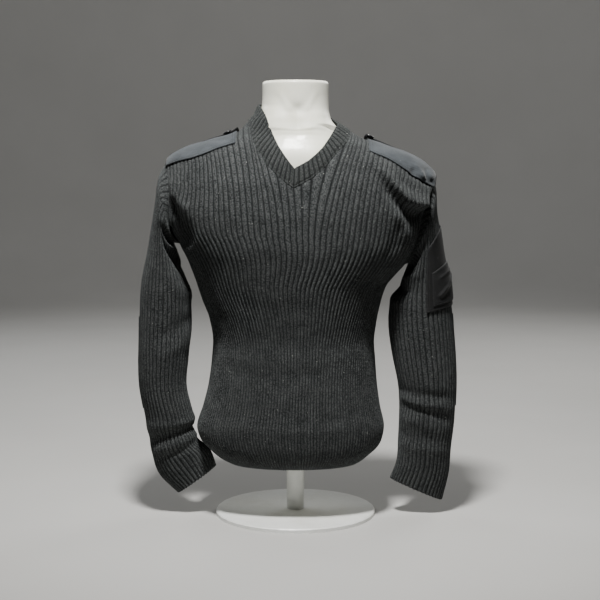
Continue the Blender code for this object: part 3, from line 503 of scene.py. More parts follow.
def makeKnit(name, dark, light, shadow=1.0):
    look = knitLook
    made, tree, place = startMaterial(name)
    add, subtract, multiply, _, _, _, power, _ = maths(tree)
    stitches = useGroup(tree, stitchGroup, {"UV": clothUv(tree)})
    fuzz, cloud, wear = (noiseNode(tree, place, *look[kind]) for kind in ("fuzz", "cloud", "wear"))
    tone = add(multiply(fuzz, look["fuzzShare"]), multiply(wear, look["wearShare"]))
    tone = mapRange(tree, add(tone, multiply(cloud, look["cloudShare"])), *look["toneRange"], 0.0, 1.0)
    colour = mixColour(tree, tone, dark, light)
    # painted shade: darker where the stitch height is low, in the gaps between yarn loops
    shade = subtract(look["stitchShade"], multiply(stitches["Height"], look["stitchShade"]))
    colour = mixColour(tree, shade, colour, look["stitchShadeColour"])
    # painted shade: darker in the valleys between ribs; a lower shadow value deepens it
    valley = multiply(power(stitches["Valley shade"], shadow), look["valleyShade"])
    colour = mixColour(tree, valley, colour, look["valleyShadeColour"])
    for lint in ("fineLint", "lint"):
        specks, share, pale = look[lint]
        colour = addLint(tree, place, colour, specks, share, pale)
    height = add(stitches["Height"], multiply(fuzz, look["fuzzHeight"]))
    finishMaterial(tree, {"Base Color": colour, **look["surface"]}, height, *look["bump"])
    return made


def makeTwill(name, dark, light, edge, rough=0.86, sheen=0.10):
    look = twillLook
    made, tree, place = startMaterial(name)
    add, subtract, multiply = maths(tree)[:3]
    weave = useGroup(tree, weaveGroup, {"UV": clothUv(tree)})
    cloud, slub = (noiseNode(tree, place, *look[kind]) for kind in ("cloud", "slub"))
    tone = add(multiply(cloud, look["cloudShare"]), multiply(slub, look["slubShare"]))
    colour = mixColour(tree, mapRange(tree, tone, *look["toneRange"], 0.0, 1.0), dark, light)
    # painted shade: darker towards the edge colour in the hollows between the twill's ridges
    colour = mixColour(tree, multiply(subtract(1.0, weave["Lit ridge"]), look["edgeShade"]), colour, edge)
    specks, share, pale = look["lint"]
    colour = addLint(tree, place, colour, specks, share, pale)
    surface = {"Roughness": rough, "Specular IOR Level": look["specular"], "Sheen Weight": sheen}
    height = add(weave["Height"], multiply(slub, look["slubHeight"]))
    finishMaterial(tree, {"Base Color": colour, **surface}, height, *look["bump"])
    return made


def makeGloss(name, clean, aged, rough, coat):
    look = glossLook
    made, tree, place = startMaterial(name)
    cloud, scuff, dents = (noiseNode(tree, place, *look[kind]) for kind in ("cloud", "scuff", "dents"))
    colour = mixColour(tree, mapRange(tree, cloud, *look["cloudRange"]), clean, aged)
    colour = mixColour(tree, mapRange(tree, scuff, *look["scuffRange"]), colour, look["scuffColour"])
    worn = mapRange(tree, scuff, *look["roughRange"], rough * 0.85, rough * 1.5)
    surface = {"Roughness": worn, "Coat Weight": coat, "Coat Roughness": look["coatRough"]}
    finishMaterial(tree, {"Base Color": colour, **surface}, dents, *look["bump"])
    return made


knitMaterial = makeKnit("blackRibKnit", (0.009, 0.0105, 0.0110), (0.104, 0.110, 0.110))
# painted shade: the band is the body's yarn, made as a darker copy of its knit to offset the stronger light near the
# neck, with deeper painted shade in its valleys
shadedBandMaterial = makeKnit("shadedBandRibKnit", (0.010, 0.0115, 0.0115), (0.074, 0.079, 0.077), shadow=0.4)
twillMaterial = makeTwill("greyTwill", (0.030, 0.035, 0.039), (0.066, 0.074, 0.081), (0.016, 0.019, 0.022))
darkTwillMaterial = makeTwill(
    "darkTwill", (0.006, 0.0062, 0.0066), (0.018, 0.0185, 0.0190), (0.003, 0.0032, 0.0035), 0.66, 0.02)
greyTwill, darkTwill = (twillMaterial, "woven_twill"), (darkTwillMaterial, "dark_twill")
thread = makeTwill("sewingThread", (0.008, 0.009, 0.010), (0.020, 0.022, 0.024), (0.005, 0.006, 0.006), 0.7)
formMaterial = makeGloss("whiteGloss", (0.70, 0.70, 0.61), (0.60, 0.59, 0.47), 0.42, 0.12)
steelMaterial = makeGloss("whitePaint", (0.74, 0.75, 0.73), (0.62, 0.62, 0.58), 0.38, 0.1)
buttonMaterial = makeGloss("blackButton", (0.012, 0.012, 0.013), (0.020, 0.019, 0.018), 0.30, 0.3)
print("materials made")


# Front and back panels

panel = {
    "ribs": 80,
    "perRib": 8,
    "sideRibs": 14,
    "ribHeight": 0.0017,
    "ribUneven": 0.18,
    "ribPressed": 0.50,
    "stretch": 0.35,
    "hem": 0.0985,
    "hemRoll": 0.0016,
    "lowRows": 104,
    "highRows": 50,
    "wall": 0.0024,
    # share of the armhole where the high block starts, and of the low block where its columns turn to it
    "highStart": 0.30,
    "turnStart": 0.66,
    "bulge": 0.012,
    "pull": 4.5,
    "seamGap": 0.00015,
    # x, height, from the right neck point round the V to the left neck point
    "frontNeckline": (
        (-0.0835, 0.7089), (-0.08, 0.696), (-0.074, 0.6767), (-0.0666, 0.6613), (-0.0547, 0.6423),
        (-0.0436, 0.6253), (-0.0283, 0.6117), (-0.0111, 0.5972), (-0.0034, 0.5924), (0.0248, 0.6066),
        (0.0436, 0.621), (0.0596, 0.6385), (0.0769, 0.6587), (0.09, 0.673), (0.0995, 0.6887)),
    "vPoint": 8,
    "backNeckline": (
        (-0.0835, 0.7089), (-0.079, 0.706), (-0.065, 0.7025), (-0.04, 0.699), (0.0, 0.695),
        (0.04, 0.6905), (0.07, 0.687), (0.09, 0.6855), (0.0995, 0.6887)),
    # rib counted from the armhole, and where it ends: x on the shoulder, or 1 + share of the neckline's half
    "rightRibEnds": ((0, -0.2207), (6, -0.18), (12, -0.145), (15, -0.128), (18, -0.1), (20, -0.0835)),
    "rightNeckRibs": ((20, 0.0), (21, 0.26), (22, 0.48), (23, 0.67), (24, 0.82), (25, 0.925), (26, 1.0)),
    "leftRibEnds": ((0, 0.2445), (7, 0.196), (13, 0.152), (17, 0.122), (19, 0.109), (21, 0.0995)),
    "leftNeckRibs": ((21, 0.0), (22, 0.4), (23, 0.66), (24, 0.83), (25, 0.93), (26, 1.0)),
    # the same behind, where the neck takes twelve ribs a side
    "rightBackEnds": ((0, -0.2207), (5, -0.18), (9, -0.145), (12, -0.11), (14, -0.0835)),
    "leftBackEnds": ((0, 0.2445), (5, 0.2), (9, 0.16), (12, 0.124), (14, 0.0995)),
}

# Folds laid on the panels: side, depth, width, and points x, height along the fold
panelFolds = (
    (-1, 0.003, 0.007, ((0.15, 0.64), (0.176, 0.618), (0.2, 0.6), (0.222, 0.59))),
    (-1, -0.005, 0.0055, ((0.196, 0.626), (0.212, 0.61), (0.228, 0.6))),
    (-1, -0.0045, 0.006, ((0.225, 0.63), (0.228, 0.613), (0.233, 0.601), (0.241, 0.604))),
    (-1, 0.0022, 0.006, ((0.205, 0.632), (0.214, 0.618), (0.22, 0.604))),
    (-1, 0.003, 0.009, ((0.168, 0.556), (0.182, 0.535), (0.196, 0.505))),
    (-1, -0.0022, 0.01, ((0.184, 0.535), (0.172, 0.5), (0.15, 0.47))),
    (-1, 0.0018, 0.012, ((0.2, 0.52), (0.188, 0.488), (0.165, 0.45))),
    (-1, 0.0042, 0.011, ((-0.226, 0.612), (-0.214, 0.586), (-0.196, 0.566), (-0.18, 0.552))),
    (-1, -0.0105, 0.015, ((-0.226, 0.574), (-0.212, 0.546), (-0.198, 0.518), (-0.184, 0.486))),
    (-1, 0.0016, 0.012, ((-0.205, 0.53), (-0.19, 0.49), (-0.165, 0.44))),
    (-1, -0.0012, 0.015, ((-0.12, 0.4), (-0.05, 0.385), (0.04, 0.392))),
    (-1, 0.001, 0.014, ((-0.14, 0.3), (-0.06, 0.288), (0.05, 0.296), (0.12, 0.3))),
    (-1, -0.0012, 0.012, ((-0.13, 0.272), (-0.05, 0.262), (0.06, 0.268))),
    (-1, 0.0012, 0.011, ((-0.15, 0.18), (-0.06, 0.172), (0.05, 0.17), (0.13, 0.18))),
    (1, -0.003, 0.013, ((0.17, 0.6), (0.13, 0.56), (0.08, 0.52))),
    (1, 0.0026, 0.013, ((0.19, 0.57), (0.14, 0.53), (0.09, 0.49))),
    (1, -0.0026, 0.013, ((-0.18, 0.6), (-0.13, 0.565), (-0.09, 0.52))),
    (1, 0.0022, 0.014, ((-0.195, 0.56), (-0.15, 0.525), (-0.1, 0.48))),
    (1, 0.0026, 0.012, ((-0.14, 0.335), (-0.06, 0.318), (0.04, 0.324), (0.13, 0.335))),
    (1, -0.003, 0.012, ((-0.135, 0.308), (-0.05, 0.292), (0.05, 0.298), (0.125, 0.31))),
    (1, 0.0022, 0.011, ((-0.13, 0.282), (-0.04, 0.268), (0.06, 0.272))),
)

# The sag over the wearer's left shoulder: x, height of its lip, how far the lip stands out
sagLip = (
    (0.112, 0.636, 0.0), (0.13, 0.629, 0.004), (0.148, 0.617, 0.008), (0.164, 0.6, 0.012),
    (0.178, 0.582, 0.016), (0.19, 0.57, 0.018), (0.214, 0.563, 0.017), (0.24, 0.566, 0.012))
sagShape = {
    "above": 0.021, "below": 0.0075,
    "hollow": 0.0065, "hollowDrop": 0.021, "hollowReach": 0.011, "hollowStart": 0.135}


def foldRelief(side, points):
    x, z = points[..., 0], points[..., 2]
    total = np.zeros(x.shape)
    for foldSide, depth, width, line in panelFolds:
        if foldSide == side:
            away, at = nearLine(x, z, line)
            uneven = 1 + 0.35 * np.sin(at * 9 + depth * 4000)
            ends = np.clip(np.sin(np.pi * np.clip(at, 0.02, 0.98)) * 2.2, 0.15, 1)
            total += depth * ends * bell(away, width * uneven)
    return total


def sagRelief(points):
    x, z = points[..., 0], points[..., 2]
    away = z - smoothCurve(sagLip, 1, x)
    reach = np.where(away > 0, sagShape["above"], sagShape["below"])
    deep = sagShape["hollow"] * ease((x - sagShape["hollowStart"]) / 0.03)
    under = deep * bell(away + sagShape["hollowDrop"], sagShape["hollowReach"])
    return np.where(x > sagLip[0][0], smoothCurve(sagLip, 2, x) * bell(away, reach) - under, 0.0)


def ribDepth(points):
    # the ribs are pressed flat by the patches and over the shoulders
    x, z = np.abs(points[..., 0]), points[..., 2]
    return 1 - panel["ribPressed"] * (ease((x - 0.085) / 0.075) * ease((z - 0.545) / 0.06))


def ribEnds(side, hand):
    # where each column's top lies, from the armhole to the middle of the neck
    name = "right" if hand < 0 else "left"
    count = (panel["ribs"] // 2 - panel["sideRibs"]) * panel["perRib"]
    rib = np.arange(count + 1) / panel["perRib"]
    ends = np.array(panel[name + ("RibEnds" if side < 0 else "BackEnds")])
    neckStart = ends[-1, 0]
    x = np.interp(rib, ends[:, 0], ends[:, 1])
    ridge = np.stack((x, 0 * x, ridgeHeight(x)), axis=-1)
    v = panel["vPoint"]
    if side < 0:
        table = panel["frontNeckline"][: v + 1] if hand < 0 else panel["frontNeckline"][v:][::-1]
        ribs = np.array(panel[name + "NeckRibs"])
        neck = alongTable(side, table, np.clip(np.interp(rib, ribs[:, 0], ribs[:, 1]), 0, 1))
    else:
        shares = np.clip((rib - neckStart) / (rib[-1] - neckStart), 0, 1) / 2
        neck = alongTable(side, panel["backNeckline"], 1 - shares if hand > 0 else shares)
    return np.where((rib < neckStart)[:, None], ridge, neck)


def shareOf(side, points):
    # share of its section's length at which each point lies
    grid = np.linspace(0, 1, 501)
    shares = []
    for p in points:
        x, y = sectionAt(side, p[2], grid)
        shares.append(grid[np.argmin(np.hypot(x - p[0], y - p[1]))])
    return shares


def joinAcross(right, middle, left):
    return np.concatenate((right[:-1], middle, left[::-1][1:]))


def lowBlock(side, topHeight, topShare):
    # from the hem to the line where the armholes have begun
    u = np.linspace(0, 1, len(topHeight))
    grid = np.linspace(0, 1, 701)
    rows = []
    for t in np.linspace(0, 1, panel["lowRows"]):
        z = panel["hem"] + (topHeight - panel["hem"]) * t
        stretch = panel["stretch"] * ease((z - 0.20) / 0.27)
        natural = u - stretch * np.sin(2 * np.pi * u) / (2 * np.pi)
        turned = ease((t - panel["turnStart"]) / (1 - panel["turnStart"]))
        share = natural * (1 - turned) + topShare * turned
        heights = np.linspace(z.min(), z.max() + 1e-9, 24)
        sections = np.array([np.stack(sectionAt(side, h, grid), axis=-1) for h in heights])
        at = np.clip((z - heights[0]) / (heights[1] - heights[0]), 0, len(heights) - 1.001)
        rows.append(np.column_stack((between(sections, at, np.clip(share, 0, 1) * (len(grid) - 1)), z)))
    return np.array(rows)


def highBlock(side, base):
    # from that line to the shoulder and the neck
    top = np.concatenate((ribEnds(side, -1), ribEnds(side, 1)[::-1][1:]))
    nearRidge = np.clip((np.abs(top[:, 0]) - 0.05) / 0.05, 0, 1)
    v = np.linspace(0, 1, len(base))
    steps = np.linspace(0, 1, panel["highRows"] + 1)
    armholes = (body["rightArmhole"], body["leftArmhole"])
    right, left = (armholeEven(side, armhole, steps, panel["highStart"]) for armhole in armholes)
    pullRight, pullLeft = ((1 - v) ** panel["pull"])[:, None], (v ** panel["pull"])[:, None]
    rows = [base]
    for n, t in enumerate(steps[1:-1], 1):
        over = 1 - (1 - t) ** 1.8
        rise = t * (1 - nearRidge) + over * nearRidge
        lean = t ** 1.9 * (1 - nearRidge) + over ** 1.5 * nearRidge
        x = base[:, 0] + (top[:, 0] - base[:, 0]) * lean
        z = base[:, 2] + (top[:, 2] - base[:, 2]) * rise
        row = onBody(side, np.clip(x, -halfWidth(-1, z), halfWidth(1, z)), z)
        row = row + pullRight * (right[n] - row[0]) + pullLeft * (left[n] - row[-1])
        rows.append(ontoBody(side, row))
    top[0], top[-1] = right[-1], left[-1]
    top[[0, -1], 1] = 0.0
    return np.array(rows + [top])


def panelBlocks(side):
    edge = panel["sideRibs"] * panel["perRib"]
    middle = panel["ribs"] * panel["perRib"] - 2 * edge
    across = np.linspace(0, 1, middle + 1)
    pick = np.unique(np.linspace(0, edge, 15).astype(int))
    lows, shares = [], []
    for name in ("rightArmhole", "leftArmhole"):
        low = armholeAt(side, body[name], panel["highStart"] * np.linspace(0, 1, edge + 1))
        lows.append(low)
        shares.append(np.interp(np.arange(edge + 1), pick, shareOf(side, low[pick])))
    (right, left), (rightShare, leftShare) = lows, shares
    midHeight = right[-1, 2] + (left[-1, 2] - right[-1, 2]) * ease(across)
    bulge = np.sin(2 * np.pi * across) * panel["bulge"]
    midShare = rightShare[-1] + (leftShare[-1] - rightShare[-1]) * across - bulge
    topHeight = joinAcross(right[:, 2], midHeight, left[:, 2])
    low = lowBlock(side, topHeight, joinAcross(rightShare, midShare, leftShare))
    low[:, [0, -1], 1] = 0.0
    low[-1, : edge + 1], low[-1, edge + middle:] = right, left[::-1]
    inside = slice(edge, edge + middle + 1)
    return low, highBlock(side, low[-1, inside]), inside


def dressPanel(side, points, normals, rib, fade=1.0):
    # ribs and folds, which fade out at the side seams
    relief = foldRelief(side, points)
    if side < 0:
        relief = relief + sagRelief(points)
    edgeFade = np.clip(np.minimum(rib - rib[0], rib[-1] - rib) / 1.2, 0, 1)
    uneven = 1 + panel["ribUneven"] * wobble(rib[None, :] / 5.0, points[..., 2] * 9.0, 11 + side)
    height = ribShape(rib)[None, :] * panel["ribHeight"] * uneven * fade * ribDepth(points)
    height = height * (0.25 + 0.75 * np.clip(edgeFade + 0.3, 0, 1))[None, :]
    seamGap = np.array((0.0, side * panel["seamGap"], 0.0))
    folded = points + normals * (relief * edgeFade[None, :])[..., None]
    return folded + normals * (height - knit["valley"])[..., None] + seamGap


def buildPanel(name, nodeName, side):
    low, high, inside = panelBlocks(side)
    rib = np.arange(low.shape[1]) / panel["perRib"]
    lowNormals, highNormals = (outwardNormals(block, (0.0, side, 0.0)) for block in (low, high))
    highNormals[0] = lowNormals[-1, inside]
    fade = 1 - 0.35 * ease((np.linspace(0, 1, len(high)) - 0.93) / 0.07)
    lowPoints = dressPanel(side, low, lowNormals, rib)
    highPoints = dressPanel(side, high, highNormals, rib[inside], fade[:, None])
    highPoints[0] = lowPoints[-1, inside]
    lowRun = runDown(low)
    highRun = runDown(high) + lowRun[-1, inside]

    # the hem turns in under the edge
    hem, inward, down = lowPoints[0], -lowNormals[0], np.array((0.0, 0.0, -1.0))
    curl = rollEdge(hem, down, panel["hemRoll"], inward, panel["hemRoll"], (40, 85, 130, 170))
    curl = np.array([hem + inward * 0.0034 + np.array((0, 0, 0.012))] + curl[::-1] + [hem])
    # the wall's cut edge along the top, hidden under the band and the patches
    rim = np.array([highPoints[-1]] + [highPoints[k] - highNormals[k] * panel["wall"] for k in (-1, -2, -6)])
    rowsUp = knit["stitch"] * np.arange(6)[:, None]
    blocks = ((curl, knitUv(rib, rowsUp * 1.2 - 6 * knit["stitch"])), (lowPoints, knitUv(rib, lowRun)),
              (highPoints, knitUv(rib[inside], highRun)), (rim, knitUv(rib[inside], highRun[-1] + rowsUp[:4])))
    grids = [gridMesh(points, uv, side > 0) for points, uv in blocks]
    return makePiece(name, grids, knitMaterial, nodeName)


frontPiece = buildPanel("frontPanel", "front", -1)
backPiece = buildPanel("backPanel", "back", 1)
print("panels made:", len(frontPiece.data.polygons), len(backPiece.data.polygons), "faces")


# Sleeves

sleeve = {
    "ribs": 40,
    "perRib": 8,
    "ribHeight": 0.0015,
    "ribUneven": 0.2,
    "rows": 176,
    "squareness": 2.15,
    "wall": 0.0024,
    "cuffRoll": 0.0014,
    "cuffJag": 0.0006,
    "slack": 0.0012,
    # outer x, outer height, inner x, inner height, half depth, from the armhole to the cuff
    "right": (
        (-0.242, 0.613, -0.2185, 0.493, 0.066), (-0.2495, 0.565, -0.2205, 0.486, 0.066),
        (-0.2545, 0.53, -0.212, 0.468, 0.064), (-0.264, 0.48, -0.2, 0.438, 0.062),
        (-0.2745, 0.425, -0.19, 0.392, 0.06), (-0.2795, 0.36, -0.1888, 0.345, 0.057),
        (-0.2812, 0.29, -0.1945, 0.285, 0.054), (-0.28, 0.235, -0.1985, 0.233, 0.05),
        (-0.2705, 0.175, -0.1862, 0.179, 0.044), (-0.2613, 0.115, -0.181, 0.141, 0.036),
        (-0.248, 0.074, -0.1575, 0.117, 0.029), (-0.2147, 0.0391, -0.1468, 0.0875, 0.022)),
    "left": (
        (0.249, 0.59, 0.203, 0.457, 0.067), (0.251, 0.555, 0.2035, 0.448, 0.066),
        (0.256, 0.52, 0.1967, 0.4334, 0.062), (0.264, 0.47, 0.185, 0.412, 0.057),
        (0.274, 0.425, 0.1719, 0.385, 0.053), (0.281, 0.365, 0.169, 0.345, 0.05),
        (0.2862, 0.305, 0.1755, 0.295, 0.048), (0.2889, 0.24, 0.186, 0.24, 0.045),
        (0.2878, 0.18, 0.1896, 0.195, 0.041), (0.2812, 0.1264, 0.1875, 0.135, 0.036),
        (0.279, 0.078, 0.185, 0.096, 0.029), (0.266, 0.0261, 0.1743, 0.0652, 0.021)),
}

# Folds round the sleeves: depth, width in rings, ring and turn at each end (0 is the underarm, 0.25 the front)
sleeveFolds = {
    "right": (
        (-0.013, 0.42, 1.6, 0.02, 2.0, 0.27), (0.008, 0.34, 2.7, -0.02, 1.7, 0.3),
        (-0.012, 0.46, 3.9, -0.06, 2.6, 0.26), (0.003, 0.3, 4.9, -0.08, 4.6, 0.22),
        (-0.0026, 0.24, 5.6, 0.0, 6.4, 0.3), (0.0022, 0.24, 6.2, -0.02, 6.9, 0.28),
        (0.003, 0.16, 9.05, -0.1, 9.25, 0.5), (-0.005, 0.16, 9.45, -0.1, 9.6, 0.5),
        (0.0026, 0.16, 9.85, -0.12, 10.0, 0.46), (-0.003, 0.16, 10.25, 0.0, 10.4, 0.42),
        (-0.004, 0.26, 3.2, 0.66, 4.0, 1.02), (0.0034, 0.26, 3.9, 0.62, 4.8, 1.0),
        (-0.003, 0.22, 8.7, 0.55, 9.2, 0.95), (0.0024, 0.22, 9.5, 0.55, 9.9, 0.95)),
    "left": (
        (-0.012, 0.5, 1.9, 0.03, 2.4, 0.28), (0.004, 0.26, 2.9, -0.02, 3.9, 0.24),
        (-0.005, 0.26, 3.6, -0.04, 4.7, 0.2), (0.003, 0.26, 4.5, -0.05, 5.4, 0.2),
        (-0.0034, 0.2, 8.25, 0.0, 8.35, 0.4), (0.0026, 0.18, 8.55, 0.0, 8.75, 0.42),
        (-0.0036, 0.18, 8.8, 0.02, 9.05, 0.4), (0.0022, 0.18, 9.25, 0.02, 9.4, 0.4),
        (-0.0024, 0.18, 9.7, 0.0, 9.8, 0.34), (0.0018, 0.16, 10.1, 0.05, 10.2, 0.4),
        (-0.004, 0.26, 3.3, 0.66, 4.1, 1.02), (0.0034, 0.26, 4.0, 0.62, 4.9, 1.0),
        (-0.0028, 0.22, 8.6, 0.55, 9.1, 0.95), (0.0022, 0.22, 9.3, 0.55, 9.7, 0.95)),
}


def sleeveRings(name):
    # the armhole edge and the table's rings, each as a closed line of points
    armhole = body[name + "Armhole"]
    columns = sleeve["ribs"] * sleeve["perRib"]
    turn = np.arange(columns) / columns
    half = np.minimum(turn, 1 - turn) * 2
    even = np.interp(half, (0, 0.2, 0.4, 0.6, 0.8, 1.0), (0, 0.12, 0.30, 0.52, 0.76, 1.0))
    lines = [np.where((turn <= 0.5)[:, None], armholeEven(-1, armhole, even), armholeEven(1, armhole, even))]
    angle, power = 2 * np.pi * turn, 2 / sleeve["squareness"]
    along, across = signedPower(-np.cos(angle), power), -signedPower(np.sin(angle), power)
    for outerX, outerZ, innerX, innerZ, depth in sleeve[name]:
        outer, inner = np.array((outerX, 0, outerZ)), np.array((innerX, 0, innerZ))
        middle = (outer + inner) / 2
        lines.append(middle + along[:, None] * (outer - inner) / 2 + across[:, None] * np.array((0, depth, 0)))
    return np.array(lines)


def throughRings(lines, s):
    # smooth surface through the rings
    last = len(lines) - 1
    i = int(min(math.floor(s), last - 1))
    t = s - i
    p1, p2 = lines[i], lines[i + 1]
    p0 = lines[i - 1] if i > 0 else 2 * p1 - p2
    p3 = lines[i + 2] if i + 2 <= last else 2 * p2 - p1
    bend, twist = 2 * p0 - 5 * p1 + 4 * p2 - p3, 3 * p1 - p0 - 3 * p2 + p3
    return 0.5 * (2 * p1 + (p2 - p0) * t + bend * t * t + twist * t ** 3)


def sleeveBase(name):
    lines = sleeveRings(name)
    gaps = np.linalg.norm(np.diff(lines.mean(axis=1), axis=0), axis=1)
    gaps[0] = max(gaps[0], 0.02)
    length = np.concatenate(([0.0], np.cumsum(gaps)))
    spots = np.interp(np.linspace(0, length[-1], sleeve["rows"]), length, np.arange(len(lines)))
    grid = np.array([throughRings(lines, s) for s in spots])
    turn = np.arange(grid.shape[1]) / grid.shape[1]
    relief = np.zeros(grid.shape[:2])
    for depth, width, s0, t0, s1, t1 in sleeveFolds[name]:
        reach = abs(t1 - t0) / 2
        away = (turn[None, :] - (t0 + t1) / 2 + 0.5) % 1.0 - 0.5
        part = np.clip((away / reach + 1) / 2, -0.3, 1.3)
        fade = np.exp(-np.clip(np.abs(away) / reach - 0.55, 0, None) ** 2 / 0.10)
        uneven = 1 + 0.3 * np.sin(part * 7 + s0 * 3)
        relief += depth * fade * bell(spots[:, None] - (s0 + (s1 - s0) * part), width * uneven)
    relief += sleeve["slack"] * wobble(turn[None, :] * 3, spots[:, None] * 0.5, 5 if name == "left" else 8)
    normals = outwardNormals(grid, grid - grid.mean(axis=1, keepdims=True), closed=True)
    if name == "left":
        # the pocket keeps the cloth flat
        flatTurn = np.exp(-((turn - 0.45) / 0.16) ** 4)[None, :]
        relief = relief * (1 - 0.75 * flatTurn * np.exp(-((spots - 4.3) / 1.6) ** 4)[:, None])
    return grid + normals * (relief * ease(spots / 1.2)[:, None])[..., None], normals, spots


def buildSleeve(name):
    grid, normals, spots = sleeveBase(name)
    columns = grid.shape[1]
    rib = np.arange(columns + 1) / sleeve["perRib"]
    uneven = 1 + sleeve["ribUneven"] * wobble(rib[None, :-1] / 5, spots[:, None] * 0.8, 21)
    fade = 0.04 + 0.96 * ease((spots - 0.30) / 1.3)
    height = ribShape(rib[:-1])[None, :] * sleeve["ribHeight"] * uneven * fade[:, None]
    outer = grid + normals * (height - knit["valley"])[..., None]
    # the cut edge of the cuff rolls in to the inside wall
    way = unit(grid[-1] - grid[-3])
    edge = outer[-1] + way * sleeve["cuffJag"] * np.sin(rib[:-1] * 2 * np.pi)[:, None]
    roll = rollEdge(edge, way, sleeve["cuffRoll"], -normals[-1], sleeve["cuffRoll"], (45, 90, 135, 180))
    inner = grid[::-1][1::6] - normals[::-1][1::6] * sleeve["wall"]
    points = np.concatenate((outer, roll, inner, outer[:1]))
    uv = knitUv(rib, runDown(points).mean(axis=1)[:, None])
    grids = [gridMesh(closeRing(points), uv, name == "right")]
    piece = makePiece(name + "SleeveKnit", grids, knitMaterial, name + "_sleeve")
    return piece, (grid, normals, spots)


rightSleeve, rightSleeveGrid = buildSleeve("right")
leftSleeve, leftSleeveGrid = buildSleeve("left")
print("sleeves made:", len(rightSleeve.data.polygons), "faces each")


# Neck band

band = {
    "rows": 22,
    "perRib": 8,
    # ribs in the right front, the back and the left front
    "ribs": (20, 27, 19),
    "ribHeight": 0.0019,
    "lift": 0.0014,
    "roll": (0.0018, 0.0017),
    "foot": (0.0016, 0.0006),
    "fold": 0.0010,
    # x, height of the inner edge, in front and behind
    "frontEdge": (
        (-0.065, 0.7376), (-0.0543, 0.7191), (-0.0465, 0.7017), (-0.0398, 0.6836), (-0.0294, 0.663),
        (-0.018, 0.6457), (-0.0077, 0.6321), (-0.0017, 0.6254), (0.0111, 0.6321), (0.0231, 0.6389),
        (0.0354, 0.6492), (0.0475, 0.6612), (0.0601, 0.6787), (0.076, 0.7042)),
    "vPoint": 7,
    "backEdge": (
        (-0.065, 0.7376), (-0.056, 0.7385), (-0.03, 0.7365), (0.0, 0.733), (0.03, 0.7275),
        (0.056, 0.719), (0.07, 0.7095), (0.076, 0.7042)),
}


def bandLift(rib, total):
    # how far the band stands out: rows by columns
    across = np.linspace(0, 1, band["rows"])
    puff = band["lift"] * (0.45 + 0.55 * np.sin(np.pi * np.clip(across * 0.9 + 0.08, 0, 1)) ** 0.7)
    puff = puff + 0.0016 * bell(across - 0.035, 0.025) - 0.0010 * bell(across - 0.13, 0.04)
    fromV = np.minimum(rib, total - rib)
    # the right front lies under the mitre, the left front over it
    under = rib < total / 2
    mitre = np.where(under, ease((rib - 0.4) / 2.4) * 0.9 + 0.1, ease(fromV / 0.5))
    height = ribShape(rib) * band["ribHeight"] * mitre * np.where(under, 0.85, 1.15)
    ends = ease((across - 0.09) / 0.08) * np.where(across > 0.9, 0.55, 1.0)
    lift = puff[:, None] + height[None, :] * ends[:, None]
    return lift - 0.0016 * bell(fromV[None, :], 0.16) + 0.0008 * bell(fromV[None, :] - 0.45, 0.25)


def buildBand():
    v, w = panel["vPoint"], band["vPoint"]
    neck, edge = panel["frontNeckline"], band["frontEdge"]
    tables = ((neck[: v + 1][::-1], edge[: w + 1][::-1], -1), (panel["backNeckline"], band["backEdge"], 1),
              (neck[v:][::-1], edge[w:][::-1], -1))
    t = np.linspace(0, 1, band["rows"])[:, None, None]
    blocks = []
    for (outer, inner, side), ribs in zip(tables, band["ribs"]):
        shares = np.arange(ribs * band["perRib"]) / (ribs * band["perRib"])
        outer, inner = alongTable(side, outer, shares), alongTable(side, inner, shares)
        blocks.append(ontoBody(side, outer[None] * (1 - t) + inner[None] * t))
    points = np.concatenate(blocks, axis=1)
    normals = outwardNormals(points, points * (1, 1, 0), closed=True)
    rib = np.arange(points.shape[1] + 1) / band["perRib"]
    face = points + normals * bandLift(rib[:-1], rib[-1])[..., None]
    inward, outward = unit(points[-1] - points[-2]), unit(points[0] - points[1])
    foot = (points[0] + outward * band["foot"][0] - normals[0] * band["foot"][1])[None]
    roll = rollEdge(face[-1], inward, band["roll"][0], -normals[-1], band["roll"][1], (50, 95, 140))
    under = points[::-1][::3] - normals[::-1][::3] * band["fold"]
    grid = np.concatenate((foot, face, roll, under))
    uv = knitUv(rib, runDown(grid).mean(axis=1)[:, None])
    return makePiece("neckBandKnit", [gridMesh(closeRing(grid), uv)], shadedBandMaterial, "neck_band")


neckBand = buildBand()
print("neck band made")


# Woven patches, straps and the pocket

patch = {
    "lift": 0.0021,
    "thick": 0.0011,
    "backDrop": 0.008,
    # x, height of the front edge
    "rightEdge": (
        (-0.2250, 0.6280), (-0.1962, 0.6385), (-0.1787, 0.6424), (-0.1560, 0.6502), (-0.1315, 0.6600),
        (-0.0900, 0.6720)),
    "leftEdge": (
        (0.1000, 0.6680), (0.1410, 0.6476), (0.1543, 0.6424), (0.1799, 0.6280), (0.2023, 0.6150),
        (0.2450, 0.5930)),
    "rightEnd": -0.1030,
    "leftEnd": 0.1270,
}
patch["onTop"] = patch["lift"] + patch["thick"] + 0.0006

strap = {"lift": 0.0045, "thick": 0.0016, "across": (0.13, 0.70), "reach": 0.955}


def sizeOf(grid):
    # mean length down the rows and across the columns
    rows, columns = grid.shape[:2]
    down, wide = (np.linalg.norm(np.diff(grid, axis=axis), axis=-1).mean() for axis in (0, 1))
    return down * (rows - 1), wide * (columns - 1)


